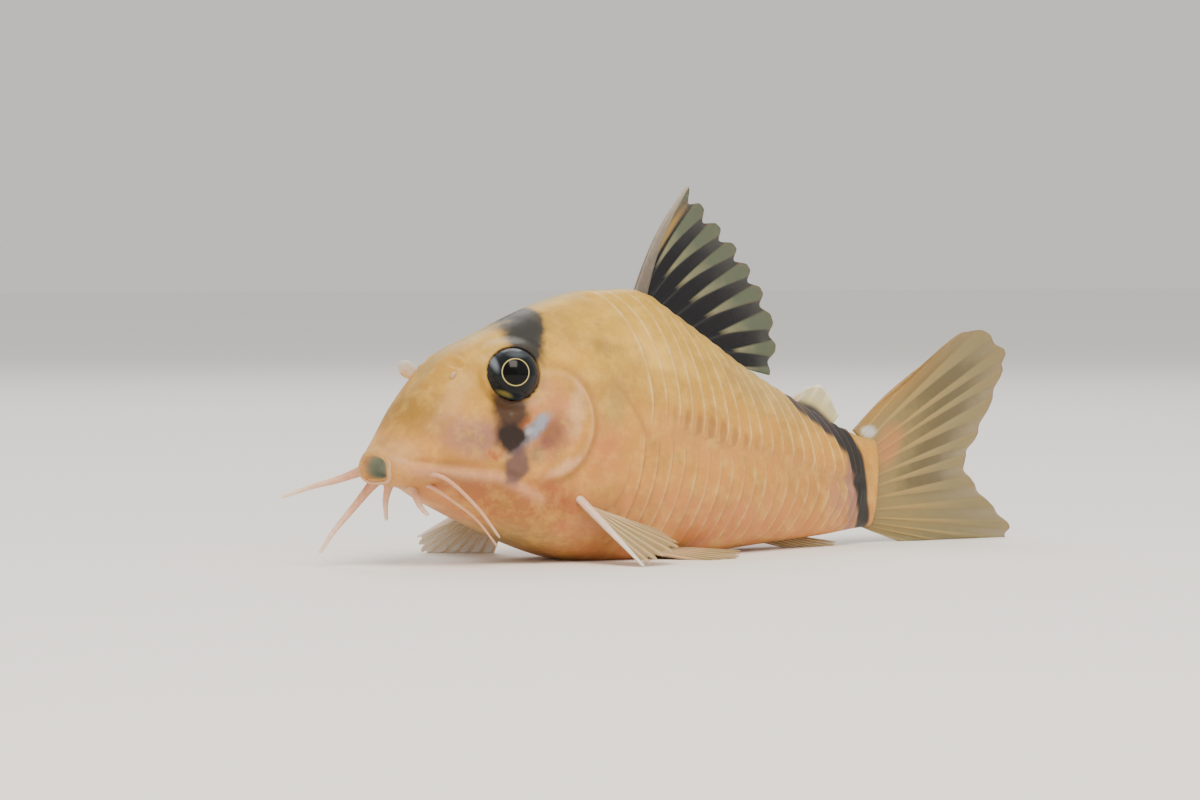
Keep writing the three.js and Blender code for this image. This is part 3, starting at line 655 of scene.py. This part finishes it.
def makeEyeMaterial():
    # Black pupil in a thin gold ring and a blue-black iris, all under a clear wet cornea.
    material, tree, shader = newMaterial("wetEye", {
        "Roughness": .2, "IOR": 1.33, "Specular IOR Level": .22, "Coat Weight": .16, "Coat Roughness": .02})
    iris, disc = (addNode(tree, "ShaderNodeAttribute", attribute_name=name).outputs["Vector"]
                  for name in ("iris", "disc"))
    ring = addNode(tree, "ShaderNodeSeparateXYZ", {0: iris}).outputs["X"]
    ramp = addNode(tree, "ShaderNodeValToRGB", {"Fac": ring})
    for stop, hexText in eyeRings[1:-1]:
        ramp.color_ramp.elements.new(stop)
    for element, (stop, hexText) in zip(ramp.color_ramp.elements, eyeRings):
        element.position = stop
        element.color = colour(hexText)
    # blue-grey flecks 0.3 mm across on the iris
    spot = addNode(tree, "ShaderNodeTexCoord").outputs["Object"]
    noise = addNode(tree, "ShaderNodeTexNoise", {"Vector": spot, "Scale": 3000, "Detail": 3.0})
    fleck = addNode(tree, "ShaderNodeMapRange", {
        "Value": noise.outputs["Fac"], "From Min": .5, "From Max": .75, "To Max": .5}).outputs[0]
    inIris = addNode(tree, "ShaderNodeMapRange", {"Value": ring, "From Min": .47, "From Max": .6}).outputs[0]
    cover = addNode(tree, "ShaderNodeMath", {0: fleck, 1: inIris}, operation="MULTIPLY").outputs[0]
    tone = addNode(tree, "ShaderNodeMix", {
        0: cover, 6: ramp.outputs["Color"], 7: colour("#3f474f")}, data_type="RGBA").outputs[2]
    tone = paintMarks(tree, tone, eyeMarks, disc, .8)
    tree.links.new(tone, shader.inputs["Base Color"])
    return material


skinMaterial = makeSkinMaterial()
dorsalMaterial = makeFinMaterial("dorsalFinMembrane", finLook["dorsal"])
tailMaterial = makeFinMaterial("tailFinMembrane", finLook["tail"])
paleMaterial = makeFinMaterial("pairedFinMembrane", finLook["pale"])
adiposeMaterial = makeFinMaterial("adiposeFinSkin", finLook["adipose"])
barbelMaterial = makeFleshMaterial("barbelSkin", "#cf9c7a", "#e8cdb6")
flapMaterial = makeFleshMaterial("nostrilSkin", "#b9935f", "#c6c6bd")
lipMaterial = makeFleshMaterial("lipSkin", "#cf9c72", "#d0a468")
boneMaterial = makeFleshMaterial("dorsalSpineBone", "#6d6459", "#97917f")
paleBoneMaterial = makeFleshMaterial("paleSpineBone", "#dfb89e", "#f0e2d2")
eyeMaterial = makeEyeMaterial()
print("materials made")


# Skin

skinGrid = {
    "headRows": 190,
    "columns": 200,
    "plateRows": (0, .06, .18, .32, .43, .485, .53, .66, .8, .93, .985),    # places across each scute
    "headTo": (.44, .48),       # the head's relief fades out between these
}
mouth = {
    "at": (.030, 0, .108),
    "half": (.035, .019),       # sideways and up
    "depth": .034,              # how far the inside is pushed in
    "lip": .002,                # rise of the rim and its width in half sizes
    "lipWidth": .2,
    "lean": 3,                  # degrees that it looks down
    "square": (3.2, 2.2),       # nearly flat below and arched above
}
# Forms of the head in straight places, with rises in mm. Negative ones go in.
opercle = {"at": (.267, .195), "half": (.071, .084), "turn": -14, "rise": .32, "rim": .07, "groove": .16}
swells = [      # soft ovals: rise, middle, half sizes and turn in degrees
    (-.22, (.262, .182), (.024, .032), 20),     # hollow of the gill cover
    (.22, (.135, .165), (.054, .045), 10),      # cheek
    (.06, (.2, .325), (.05, .016), 25),         # brow
]
nostril = {"at": (.132, .272), "half": (.0115, .010), "rim": .12, "pit": .2}
shoulder = {"at": (.368, .135), "half": (.04, .075), "turn": -12, "rise": .14}
jawFold = {"along": (0, .06, .19, .48), "up": (.137, .122, .122, .0205), "crease": .2, "roll": .16,
           "from": (.03, .08), "to": (.24, .29)}
shoulderSeam = {"at": (.385, .263), "slant": .77, "depth": .13, "from": (.15, .18), "to": (.26, .30)}


def ovalReach(along, up, at, half, turn):
    # distance from the middle of a turned oval, 1 at its edge, seen from the side
    c, s = math.cos(math.radians(turn)), math.sin(math.radians(turn))
    dx, dz = along - at[0], up - at[1]
    return np.hypot((dx * c + dz * s) / half[0], (dz * c - dx * s) / half[1])


def headRelief(along, across, up):
    # heights of the head's plates, folds and rims in mm, alike on both sides: soft steps at the plates'
    # edges, and bells across rims and grooves
    cover = ovalReach(along, up, opercle["at"], opercle["half"], opercle["turn"])
    rear = ease(-.03, .03, along - opercle["at"][0])
    height = opercle["rise"] * (1 - ease(.88, 1.0, cover)) * blend(.35, 1, rear)
    height += opercle["rim"] * bump(cover - .9, .07) * rear
    height -= opercle["groove"] * bump(cover - 1.07, .07) * rear
    for rise, at, half, turn in swells:
        height += rise * bump(ovalReach(along, up, at, half, turn), 1)
    fold = up - np.interp(along, jawFold["along"], jawFold["up"])
    foldOn = ease(*jawFold["from"], along) * (1 - ease(*jawFold["to"], along))
    height += (jawFold["roll"] * bump(fold + .013, .009) - jawFold["crease"] * bump(fold, .006)) * foldOn
    pit = ovalReach(along, up, nostril["at"], nostril["half"], 0)
    height += nostril["rim"] * bump(pit - 1.0, .25) - nostril["pit"] * bump(pit, .6)
    # the seam of the shoulder plate slants back from behind the gill cover
    seam = along - shoulderSeam["at"][0] - (shoulderSeam["at"][1] - up) * shoulderSeam["slant"]
    seamOn = ease(*shoulderSeam["from"], up) * (1 - ease(*shoulderSeam["to"], up))
    height -= shoulderSeam["depth"] * bump(seam, .006) * seamOn
    plate = ovalReach(along, up, shoulder["at"], shoulder["half"], shoulder["turn"])
    height += shoulder["rise"] * (1 - ease(.8, 1.0, plate))
    # shares of the painted highlight on the gill cover's pale rim, of the painted shade in its groove and in
    # the shoulder seam, and of the painted highlight on the jaw fold's roll, for the colours
    paintedLight = np.stack([
        .5 * bump(cover - .91, .06) * rear * ease(.08, .12, up) * blend(1, .5, ease(.2, .27, up)),
        .45 * bump(cover - 1.07, .06) * rear + .35 * bump(seam, .005) * seamOn,
        .45 * bump(fold + .012, .008) * foldOn], -1)
    return height * ease(.02, .05, np.abs(across)), paintedLight


def orbitRim(points, side):
    # the skin is drawn to a flat ring round the eye and drops behind the ball inside it
    axis = sideAxis(eye["rimAxis"], side)
    offset = points - eyeMiddle(side)
    height = offset @ axis / eye["radius"]
    reach = np.linalg.norm(offset - (offset @ axis)[..., None] * axis, axis=-1) / eye["radius"]
    outside = ease(-.6, 0, height)
    rim = eye["rimAt"] + .06 * bump(reach - 1.02, .08)
    wanted = blend(height, rim, (1 - ease(.98, 1.55, reach)) * outside)
    wanted = blend(wanted, eye["behind"], (1 - ease(.87, .95, reach)) * outside)
    return points + ((wanted - height) * eye["radius"])[..., None] * axis


def pushMouth(points, straight):
    # an oval pushed in from the front of the snout, with a rolled lip round it
    lean = math.radians(mouth["lean"])
    outward = np.array([-math.cos(lean), 0, -math.sin(lean)])
    upward = np.array([-math.sin(lean), 0, math.cos(lean)])
    offset = straight - np.array(mouth["at"])
    sideways, above = offset[..., 1] / mouth["half"][0], (offset @ upward) / mouth["half"][1]
    square = np.where(above < 0, *mouth["square"])
    reach = (np.abs(sideways) ** square + np.abs(above) ** square) ** (1 / square)
    front = ease(-.035, -.01, offset @ outward)
    hollow = (1 - ease(.55, 1.0, reach)) * front
    lip = bump(reach - 1.25, mouth["lipWidth"]) * front
    return points + outward * (mouth["lip"] * lip - mouth["depth"] * hollow)[..., None], hollow


def fromBack(angle):
    # the angle in half turns from the back, alike on both sides
    return np.minimum(angle, 2 * np.pi - angle) / np.pi


def scuteRelief(row, angle):
    # each scute rises towards its free rear edge and drops to the next one's seat, and a groove parts
    # the two rows along the side line
    a = fromBack(angle)
    lower = a > scutes["sideLine"]
    phase = row + np.where(lower, scutes["lowerShift"], 0)
    within = phase - np.floor(phase)
    wedge = np.where(within < .93, (within / .93) ** .8, 1 - (within - .93) / .07)
    groove = ease(.004, .05, np.abs(a - scutes["sideLine"]))
    share = groove * ease(.012, .08, a) * (1 - ease(scutes["bellyEdge"] - .08, scutes["bellyEdge"], a))
    start = ease(0, .6, row) * (row > 0)
    end = 1 - ease(scutes["count"] - 2.2, scutes["count"] - .6, row)
    return scutes["rise"] * (wedge * share - .5 * (1 - groove)) * start * end, phase, share * start * end


def scuteLeanAt(angle):
    # how many scutes further back an edge lies at this angle than on the back
    a = fromBack(angle)
    upper = scutes["lean"] * np.sin(.5 * np.pi * np.clip(a / scutes["sideLine"], 0, 1)) ** 1.4
    lower = scutes["lean"] - 1.2 * ease(scutes["sideLine"], scutes["bellyEdge"], a)
    return np.where(a <= scutes["sideLine"], upper, lower)


def makeSkin():
    # rows of rings from snout to tail: dense on the snout, then the same few places across each scute
    t = np.linspace(0, 1, skinGrid["headRows"], endpoint=False)
    headBase = blend(.0004, scutes["first"], t ** 1.45)
    plateBase = (np.arange(scutes["count"])[:, None] + np.array(skinGrid["plateRows"])).ravel()
    plateBase = scutes["first"] + scutes["pitch"] * plateBase
    base = np.concatenate([headBase, plateBase, [.99, .996, 1.0]])
    row, angle = np.meshgrid(base, turns(skinGrid["columns"]), indexing="ij")
    lean = scuteLeanAt(angle) * ease(.12, scutes["first"], row) * (1 - ease(.82, 1, row))
    along = np.minimum(row + scutes["pitch"] * lean, 1)

    # the plain body, the relief along its normals, then the eye sockets and the mouth
    straight = skinPoint(along, angle)
    scuteHeight, phase, plateShare = scuteRelief((row - scutes["first"]) / scutes["pitch"], angle)
    headHeight, headPaintedLight = headRelief(straight[..., 0], straight[..., 1], straight[..., 2])
    headOnly = 1 - ease(*skinGrid["headTo"], along)
    height = headHeight * headOnly + scuteHeight
    points = straight + skinNormal(along, angle) * mm(height)[..., None]
    for side in (-1, 1):
        points = orbitRim(points, side)
    points, hollow = pushMouth(points, straight)

    piece = addMesh("skin", withEnds(placeAbove(points, 0)), tubeFaces(*angle.shape), skinMaterial, {
        "straight": withEnds(np.stack([straight[..., 0], np.abs(straight[..., 1]), straight[..., 2]], -1)),
        "plates": withEnds(np.stack([phase, fromBack(angle) - scutes["sideLine"], plateShare], -1)),
        "headPaintedLight": withEnds(headPaintedLight * headOnly[..., None]),
        "mouthInside": withEnds(hollow)})
    hold(piece, "scuted_skin", "head", "trunk", "tail_root")
    return piece


skin = makeSkin()
print("skin made:", len(skin.data.polygons), "faces")


# Eyes

eyeGrid = 72        # rings of the ball and places round each


def makeEye(name, side):
    # an oval ball with its pole on the pupil: rings of even angle from the pole, swollen at the lens
    axis = sideAxis(eye["axis"], side)
    acrossAxis = unit(np.cross([0, 0, 1.0], axis))
    upAxis = np.cross(axis, acrossAxis)
    fall, turn = np.meshgrid(np.linspace(.004, np.pi - .004, eyeGrid), turns(eyeGrid), indexing="ij")
    toTail, high = np.sin(fall) * np.cos(turn), np.sin(fall) * np.sin(turn)
    outwards = np.cos(fall) * (1 + .04 * bump(fall, .6))
    ball = outwards[..., None] * axis + toTail[..., None] * acrossAxis + high[..., None] * upAxis
    points = place(eyeMiddle(side) + ball * eye["radius"])
    piece = addMesh(name, withEnds(points), tubeFaces(eyeGrid, eyeGrid), eyeMaterial, {
        "iris": withEnds(np.stack([fall / (np.pi / 2), 0 * fall, 0 * fall], -1)),
        "disc": withEnds(np.stack([-side * toTail, 0 * fall, high], -1))})
    hold(piece, "eye", name.replace("Ball", ""))


makeEye("eye_leftBall", -1)
makeEye("eye_rightBall", 1)
print("eyes made")


# Fins: places of the root line and of the ray tips, from the front of the fin to its back. Rays sink
# into the body by a share of their length. Ridge and membrane are half thicknesses in mm, and a spine has
# its half widths in mm from root to tip.

def mirrored(places):
    # the same places on the other side
    return [(a, -b, c) for a, b, c in places]


fins = {
    "dorsal_fin": {
        "root": [(.484, 0, .417), (.52, 0, .398), (.6, 0, .363), (.692, 0, .322)],
        "edge": [(.568, 0, .587), (.612, 0, .55), (.662, 0, .515), (.706, 0, .476), (.746, 0, .43),
                 (.775, 0, .37), (.768, 0, .312)],
        "rays": 9, "sink": .08, "notch": .09, "bow": .006, "sweep": (-.005, .004),
        "ridge": .10, "membrane": .08,
        "slot": "dark_fin", "material": dorsalMaterial,
        "spine": [.62, .36, .1], "spineDepth": .3, "spineMaterial": boneMaterial,
    },
    "adipose_fin": {
        "root": [(.816, 0, .277), (.86, 0, .262), (.905, 0, .247)],
        "edge": [(.85, 0, .301), (.885, 0, .305), (.921, 0, .262)],
        "rays": 4, "sink": .35, "notch": 0, "bow": 0, "ridge": .06, "membrane": .22,
        "slot": "clear_fin", "material": adiposeMaterial,
        "spine": [.3, .28, .18], "spineDepth": .3, "spineMaterial": paleBoneMaterial,
    },
    "caudal_fin": {
        "root": [(.958, 0, .243), (1.0, 0, .215), (1.004, 0, .162), (1.002, 0, .108), (.99, 0, .089)],
        "edge": [(1.066, 0, .345), (1.17, .004, .425), (1.246, .008, .4), (1.24, .006, .345),
                 (1.205, 0, .262), (1.18, -.004, .207), (1.225, 0, .16), (1.29, .008, .112),
                 (1.25, .006, .077), (1.11, 0, .066)],
        "rays": 14, "sink": .02, "notch": .025, "bow": .008, "ridge": .09, "membrane": .09,
        "slot": "clear_fin", "material": tailMaterial,
    },
    "anal_fin": {
        "root": [(.782, 0, .052), (.82, 0, .058), (.852, 0, .064)],
        "edge": [(.86, -.016, .0405), (.905, -.022, .048), (.925, -.016, .062)],
        "rays": 7, "sink": .12, "notch": .05, "bow": 0, "ridge": .08, "membrane": .08,
        "slot": "clear_fin", "material": paleMaterial,
    },
    "pectoral_fin_left": {
        "root": [(.318, -.108, .092), (.325, -.106, .088), (.333, -.104, .084), (.34, -.102, .08)],
        "edge": [(.378, -.214, -.002), (.41, -.214, .014), (.452, -.2, .033), (.45, -.16, .052)],
        "rays": 9, "sink": .25, "notch": .07, "bow": 0, "ridge": .09, "membrane": .08,
        "slot": "clear_fin", "material": paleMaterial,
        "spine": [.34, .24, .08], "spineDepth": .25, "spineMaterial": paleBoneMaterial,
    },
    "pectoral_fin_right": {
        "root": [(.33, .108, .092), (.34, .107, .085), (.35, .105, .076), (.356, .1, .066)],
        "edge": [(.29, .245, .014), (.305, .243, -.014), (.345, .226, -.022), (.395, .19, -.012)],
        "rays": 9, "sink": .25, "notch": .05, "bow": 0, "ridge": .09, "membrane": .08,
        "slot": "clear_fin", "material": paleMaterial,
        "spine": [.34, .24, .08], "spineDepth": .25, "spineMaterial": paleBoneMaterial,
    },
    "pelvic_fin_left": {
        "root": [(.488, -.086, .02), (.51, -.084, .024), (.53, -.08, .028)],
        "edge": [(.55, -.158, .012), (.6, -.152, .022), (.636, -.118, .034)],
        "rays": 7, "sink": .25, "notch": .06, "bow": 0, "ridge": .08, "membrane": .08,
        "slot": "clear_fin", "material": paleMaterial,
    },
}
fins["pelvic_fin_right"] = dict(
    fins["pelvic_fin_left"], root=mirrored(fins["pelvic_fin_left"]["root"]),
    edge=mirrored(fins["pelvic_fin_left"]["edge"]))


# points from ray to ray and along a ray, then along and round a spine
finGrid = {"perRay": 12, "rows": 56, "spineRows": 60, "spineColumns": 20}


def finSheet(look):
    # a two-faced sheet from the root line to the ray tips: each ray is a ridge that forks towards the edge
    rows, columns = finGrid["rows"], (look["rays"] - 1) * finGrid["perRay"] + 1
    share, level = np.meshgrid(np.linspace(0, 1, columns), np.linspace(0, 1, rows), indexing="ij")
    ray = share * (look["rays"] - 1)
    off = np.abs(ray - np.round(ray))
    tip = 1 - look["notch"] * ease(.1, .5, off)
    out = -look["sink"] + (tip + look["sink"]) * level

    def middleAt(s, o):
        # straight from root to edge, bowed sideways and swept at the front
        root, edge = curveThrough(look["root"], s), curveThrough(look["edge"], s)
        p = root + (edge - root) * o[..., None]
        swell = np.sin(np.pi * np.clip(o, 0, 1))
        p[..., 1] = p[..., 1] + look["bow"] * swell
        return p + (swell * (1 - s))[..., None] * np.array([look["sweep"][0], 0, look["sweep"][1]])

    e = .01
    middle = middleAt(share, out)
    acrossFin = middleAt(np.minimum(share + e, 1), out) - middleAt(np.maximum(share - e, 0), out)
    outward = middleAt(share, out + e) - middleAt(share, out - e)
    normal = unit(np.cross(acrossFin, outward))
    fork = .11 * ease(.35, .95, out)
    taper = blend(1, .45, np.clip(out, 0, 1)) * (1 - .55 * ease(.93, 1, level))
    half = mm((look["membrane"] + look["ridge"] * bump(off - fork, .09)) * taper)[..., None]
    points = np.concatenate([(middle + sign * half * normal).reshape(-1, 3) for sign in (1, -1)])

    # the two faces, then the strip that joins them round their edge
    sheet = gridFaces(columns, rows, False)
    count = columns * rows
    edgeLoop = np.concatenate([
        np.arange(rows - 1), (rows - 1) + rows * np.arange(columns - 1),
        count - 1 - np.arange(rows - 1), rows * (columns - 1) - rows * np.arange(columns - 1)])
    after = np.roll(edgeLoop, -1)
    strip = np.stack([edgeLoop, after, after + count, edgeLoop + count], -1)
    faces = np.concatenate([sheet[:, ::-1], sheet + count, strip]).tolist()
    values = np.stack([ray, 0 * out, out], -1).reshape(-1, 3)
    return points, faces, np.concatenate([values, values])


def spineRod(look):
    # the stout first ray: a flattened rod that narrows to its tip along the fin's front edge
    rows, columns = finGrid["spineRows"], finGrid["spineColumns"]
    t, turn = np.meshgrid(np.linspace(-look["sink"] * .8, 1.0, rows), turns(columns), indexing="ij")
    upTo = np.clip(t, 0, 1)
    root, tip = np.array(look["root"][0]), np.array(look["edge"][0])
    direction = unit(tip - root)
    behind = curveThrough(look["edge"], np.array([.12]))[0] - tip
    behind = unit(behind - direction * (behind @ direction))
    width = curveThrough([[w] for w in look["spine"]], upTo)[..., 0]
    depth = look["spineDepth"] * blend(1, .35, upTo)
    bend = np.array([look["sweep"][0], look["bow"], look["sweep"][1]])
    points = (root + t[..., None] * (tip - root) + np.sin(np.pi * upTo)[..., None] * bend
              + mm(width * (np.cos(turn) + .8))[..., None] * behind
              + mm(depth * np.sin(turn))[..., None] * np.cross(direction, behind))
    return withEnds(points), tubeFaces(rows, columns), withEnds(upTo)


for name, look in fins.items():
    look.setdefault("sweep", (0, 0))
    points, faces, values = finSheet(look)
    piece = addMesh(name + "Web", placeAbove(points), faces, look["material"], {"finPlace": values})
    hold(piece, look["slot"], name)
    if "spine" in look:
        points, faces, reach = spineRod(look)
        rod = addMesh(name + "Spine", placeAbove(points), faces, look["spineMaterial"], {"reach": reach})
        hold(rod, look["slot"], name)
print("fins made")


# Barbels: places from root to tip and radii in mm there. "pale" is how far they take the tip's colour.

barbels = {
    "barbel_right_upper": {
        "places": [(.046, .044, .104), (.02, .07, .087), (-.02, .082, .072), (-.066, .088, .053)],
        "radii": (.34, .12)},
    "barbel_right_lower": {
        "places": [(.066, .042, .09), (.047, .062, .05), (.018, .068, .01), (-.002, .07, -.024)],
        "radii": (.34, .12)},
    "barbel_left_upper": {
        "places": [(.088, -.058, .108), (.11, -.083, .098), (.15, -.105, .062), (.187, -.116, .021)],
        "radii": (.17, .085), "pale": .35},
    "barbel_left_lower": {
        "places": [(.1, -.046, .09), (.117, -.07, .075), (.16, -.088, .046), (.2, -.094, .008)],
        "radii": (.13, .07), "pale": .1},
    "barbel_chin_right": {
        "places": [(.074, .018, .086), (.078, .028, .058), (.088, .036, .032)],
        "radii": (.3, .12)},
    "barbel_chin_left": {
        "places": [(.088, -.02, .086), (.1, -.03, .058), (.114, -.034, .045)],
        "radii": (.3, .12)},
}
# every barbel's rings and points round each, the flare of its root in mm with the share that it fades in,
# and where the tip starts to round off
barbelShape = {"grid": (80, 20), "flare": .1, "flareFade": .08, "tipFrom": .96}
# flaps between the nostrils: middle as on the right side, half sizes in mm
flaps = {
    "nostril_flap_right": {
        "side": 1, "at": (.115, .056, .258), "wide": .62, "thick": .13, "tall": .66, "pale": 1},
    "nostril_flap_left": {
        "side": -1, "at": (.126, .048, .250), "wide": .45, "thick": .22, "tall": .42, "pale": .4},
}
flapShape = {"grid": (40, 48), "wide": (.8, -.6, 0), "tall": (-.15, .3, .94), "cup": .25, "square": .8}
# the lips: a rolled rim round the mouth, radii in mm at the chin and the upper lip
lips = {"grid": (120, 20), "half": (.038, .0215), "radii": (.13, .15), "square": (.6, .9), "front": .0285,
        "back": (.006, .010, .003)}     # how far corners, chin and upper lip lie behind the front


def taperedTube(places, radii):
    # rings carried along the curve and square to it, flared at the root and rounded off at the tip
    rows, columns = barbelShape["grid"]
    t = np.linspace(0, 1, rows)
    middle = place(curveThrough(places, t))
    tangent = unit(np.gradient(middle, axis=0))
    steep = abs(tangent[:, 2]).max() >= .95
    first = unit(np.cross(tangent, [0, 1.0, 0] if steep else [0, 0, 1.0]))
    second = np.cross(tangent, first)
    turn = turns(columns)
    radius = blend(*radii, t ** .8) + barbelShape["flare"] * np.exp(-t / barbelShape["flareFade"])
    radius = radius * np.sqrt(1 - .98 * ease(barbelShape["tipFrom"], 1, t)) * .001
    ring = np.cos(turn)[None, :, None] * first[:, None] + np.sin(turn)[None, :, None] * second[:, None]
    points = middle[:, None] + ring * radius[:, None, None]
    return withEnds(points), tubeFaces(rows, columns), withEnds(t[:, None] + 0 * turn)


for name, look in barbels.items():
    points, faces, reach = taperedTube(look["places"], look["radii"])
    piece = addMesh(name + "Skin", points, faces, barbelMaterial, {"reach": reach * look.get("pale", 1)})
    hold(piece, "barbel_skin", name)


def flapPaddle(look):
    # an oval ball made squarer and flattened to a cupped paddle, upright over the nostril
    rows, columns = flapShape["grid"]
    fall, turn = np.meshgrid(np.linspace(.03, np.pi - .03, rows), turns(columns), indexing="ij")
    mirror = np.array([1, look["side"], 1])
    wide, tall = flapShape["wide"] * mirror, flapShape["tall"] * mirror
    x, y, z = np.sin(fall) * np.cos(turn), np.sin(fall) * np.sin(turn), np.cos(fall)
    x = np.sign(x) * np.abs(x) ** flapShape["square"]
    depth = y * mm(look["thick"]) + flapShape["cup"] * mm(look["tall"]) * z * z
    points = (look["at"] * mirror
              + (x * mm(look["wide"]))[..., None] * wide
              + (z * mm(look["tall"]))[..., None] * tall
              + depth[..., None] * np.cross(wide, tall))
    return withEnds(place(points)), tubeFaces(rows, columns), withEnds(.5 + .5 * z)


for name, look in flaps.items():
    points, faces, reach = flapPaddle(look)
    piece = addMesh(name + "Skin", points, faces, flapMaterial, {"reach": reach * look["pale"]})
    hold(piece, "barbel_skin", name)


def makeLips():
    # a tube round a squared ring, set back at the corners, chin and upper lip to follow the snout
    rows, columns = lips["grid"]
    turn = turns(rows)
    high = .5 + .5 * np.sin(turn)
    square = np.where(np.sin(turn) < 0, *lips["square"])
    outX = np.sign(np.cos(turn)) * np.abs(np.cos(turn)) ** square
    outZ = np.sign(np.sin(turn)) * np.abs(np.sin(turn)) ** square
    corner, chin, upper = lips["back"]
    middle = np.stack([
        lips["front"] + corner * outX ** 2 + chin * np.maximum(-outZ, 0) ** 2 + upper * np.maximum(outZ, 0),
        lips["half"][0] * outX,
        mouth["at"][2] + lips["half"][1] * outZ], -1)
    tangent = unit(np.roll(middle, -1, 0) - np.roll(middle, 1, 0))
    forward = unit(np.cross(tangent, np.cross([1.0, 0, 0], tangent)))
    aside = np.cross(tangent, forward)
    radius = mm(blend(*lips["radii"], high))[:, None, None]
    around = turns(columns)[None, :, None]
    points = middle[:, None] + radius * (
        np.cos(around) * forward[:, None] + np.sin(around) * aside[:, None])
    r, c = np.meshgrid(np.arange(rows), np.arange(columns), indexing="ij")
    after, beside = (r + 1) % rows, (c + 1) % columns
    corners = [r * columns + c, r * columns + beside, after * columns + beside, after * columns + c]
    faces = np.stack(corners, -1).reshape(-1, 4).tolist()
    piece = addMesh("lips", place(points).reshape(-1, 3), faces, lipMaterial,
                    {"reach": np.repeat(high, columns)})
    hold(piece, "scuted_skin", "head")


makeLips()
print("barbels made")


# Studio: a plain pale floor, soft lights and the camera at the photograph's angle.

studio = {
    "floorSize": 3.0, "floor": "#faf8f4", "air": "#eae8e4", "airStrength": .9,
    # the camera's azimuth from the left side and its elevation in degrees, its distance in metres and
    # the straight place that it looks at
    "azimuth": -36.0, "elevation": 1.74, "distance": 0.3, "aim": (.4616, 0, .249),
    "pictureWide": 1200, "focalPixels": 4296.6, "sensor": 36,
}
# azimuth, elevation, distance and size in metres, power in watts and tint
lights = {
    "keyLight": (-30, 55, .45, .25, 2.2, "#fff4e6"),
    "fillLight": (15, 30, .5, .5, .35, "#f2f6ff"),
    "backLight": (150, 45, .5, .3, .8, "#ffffff"),
}


def makeFloor():
    # a flat square with its top at the model's level
    size = studio["floorSize"]
    mesh = bpy.data.meshes.new("floor")
    corners = [(-size, -size, 0), (size, -size, 0), (size, size, 0), (-size, size, 0)]
    mesh.from_pydata(corners, [], [(0, 1, 2, 3)])
    # Matt painted board: pale and even, with soft shadows.
    material = newMaterial("paleStudioFloor", {"Base Color": colour(studio["floor"]), "Roughness": .8})[0]
    mesh.materials.append(material)
    floor = bpy.data.objects.new("floor", mesh)
    bpy.context.scene.collection.objects.link(floor)


def aimFrom(data, azimuth, elevation, distance, target):
    # a light or camera on a ball round the target, looking at its middle
    a, e = math.radians(azimuth), math.radians(elevation)
    back = Vector((math.sin(a) * math.cos(e), -math.cos(a) * math.cos(e), math.sin(e)))
    item = bpy.data.objects.new(data.name, data)
    item.location = Vector(target) + back * distance
    item.rotation_euler = back.to_track_quat("Z", "Y").to_euler()
    bpy.context.scene.collection.objects.link(item)
    return item


def makeLights():
    # soft square lights aimed just over the floor, and even pale light from all round
    for name, (azimuth, elevation, distance, size, power, tint) in lights.items():
        data = bpy.data.lights.new(name, "AREA")
        data.size = size
        data.energy = power
        data.color = colour(tint)[:3]
        aimFrom(data, azimuth, elevation, distance, (0, 0, .01))
    world = bpy.data.worlds.new("softAir")
    world.use_nodes = True
    background = world.node_tree.nodes["Background"]
    background.inputs["Color"].default_value = colour(studio["air"])
    background.inputs["Strength"].default_value = studio["airStrength"]
    bpy.context.scene.world = world


def makeCamera():
    # the photograph's focal length in pixels, turned to a lens for this sensor
    data = bpy.data.cameras.new("camera")
    data.sensor_width = studio["sensor"]
    data.lens = studio["focalPixels"] / studio["pictureWide"] * data.sensor_width
    data.clip_start = .01
    data.clip_end = 20
    aim = (np.array(studio["aim"]) - (0, 0, fish["sink"])) * fish["length"] + shift
    bpy.context.scene.camera = aimFrom(
        data, studio["azimuth"], studio["elevation"], studio["distance"], aim)


makeFloor()
makeLights()
makeCamera()
print("studio made")
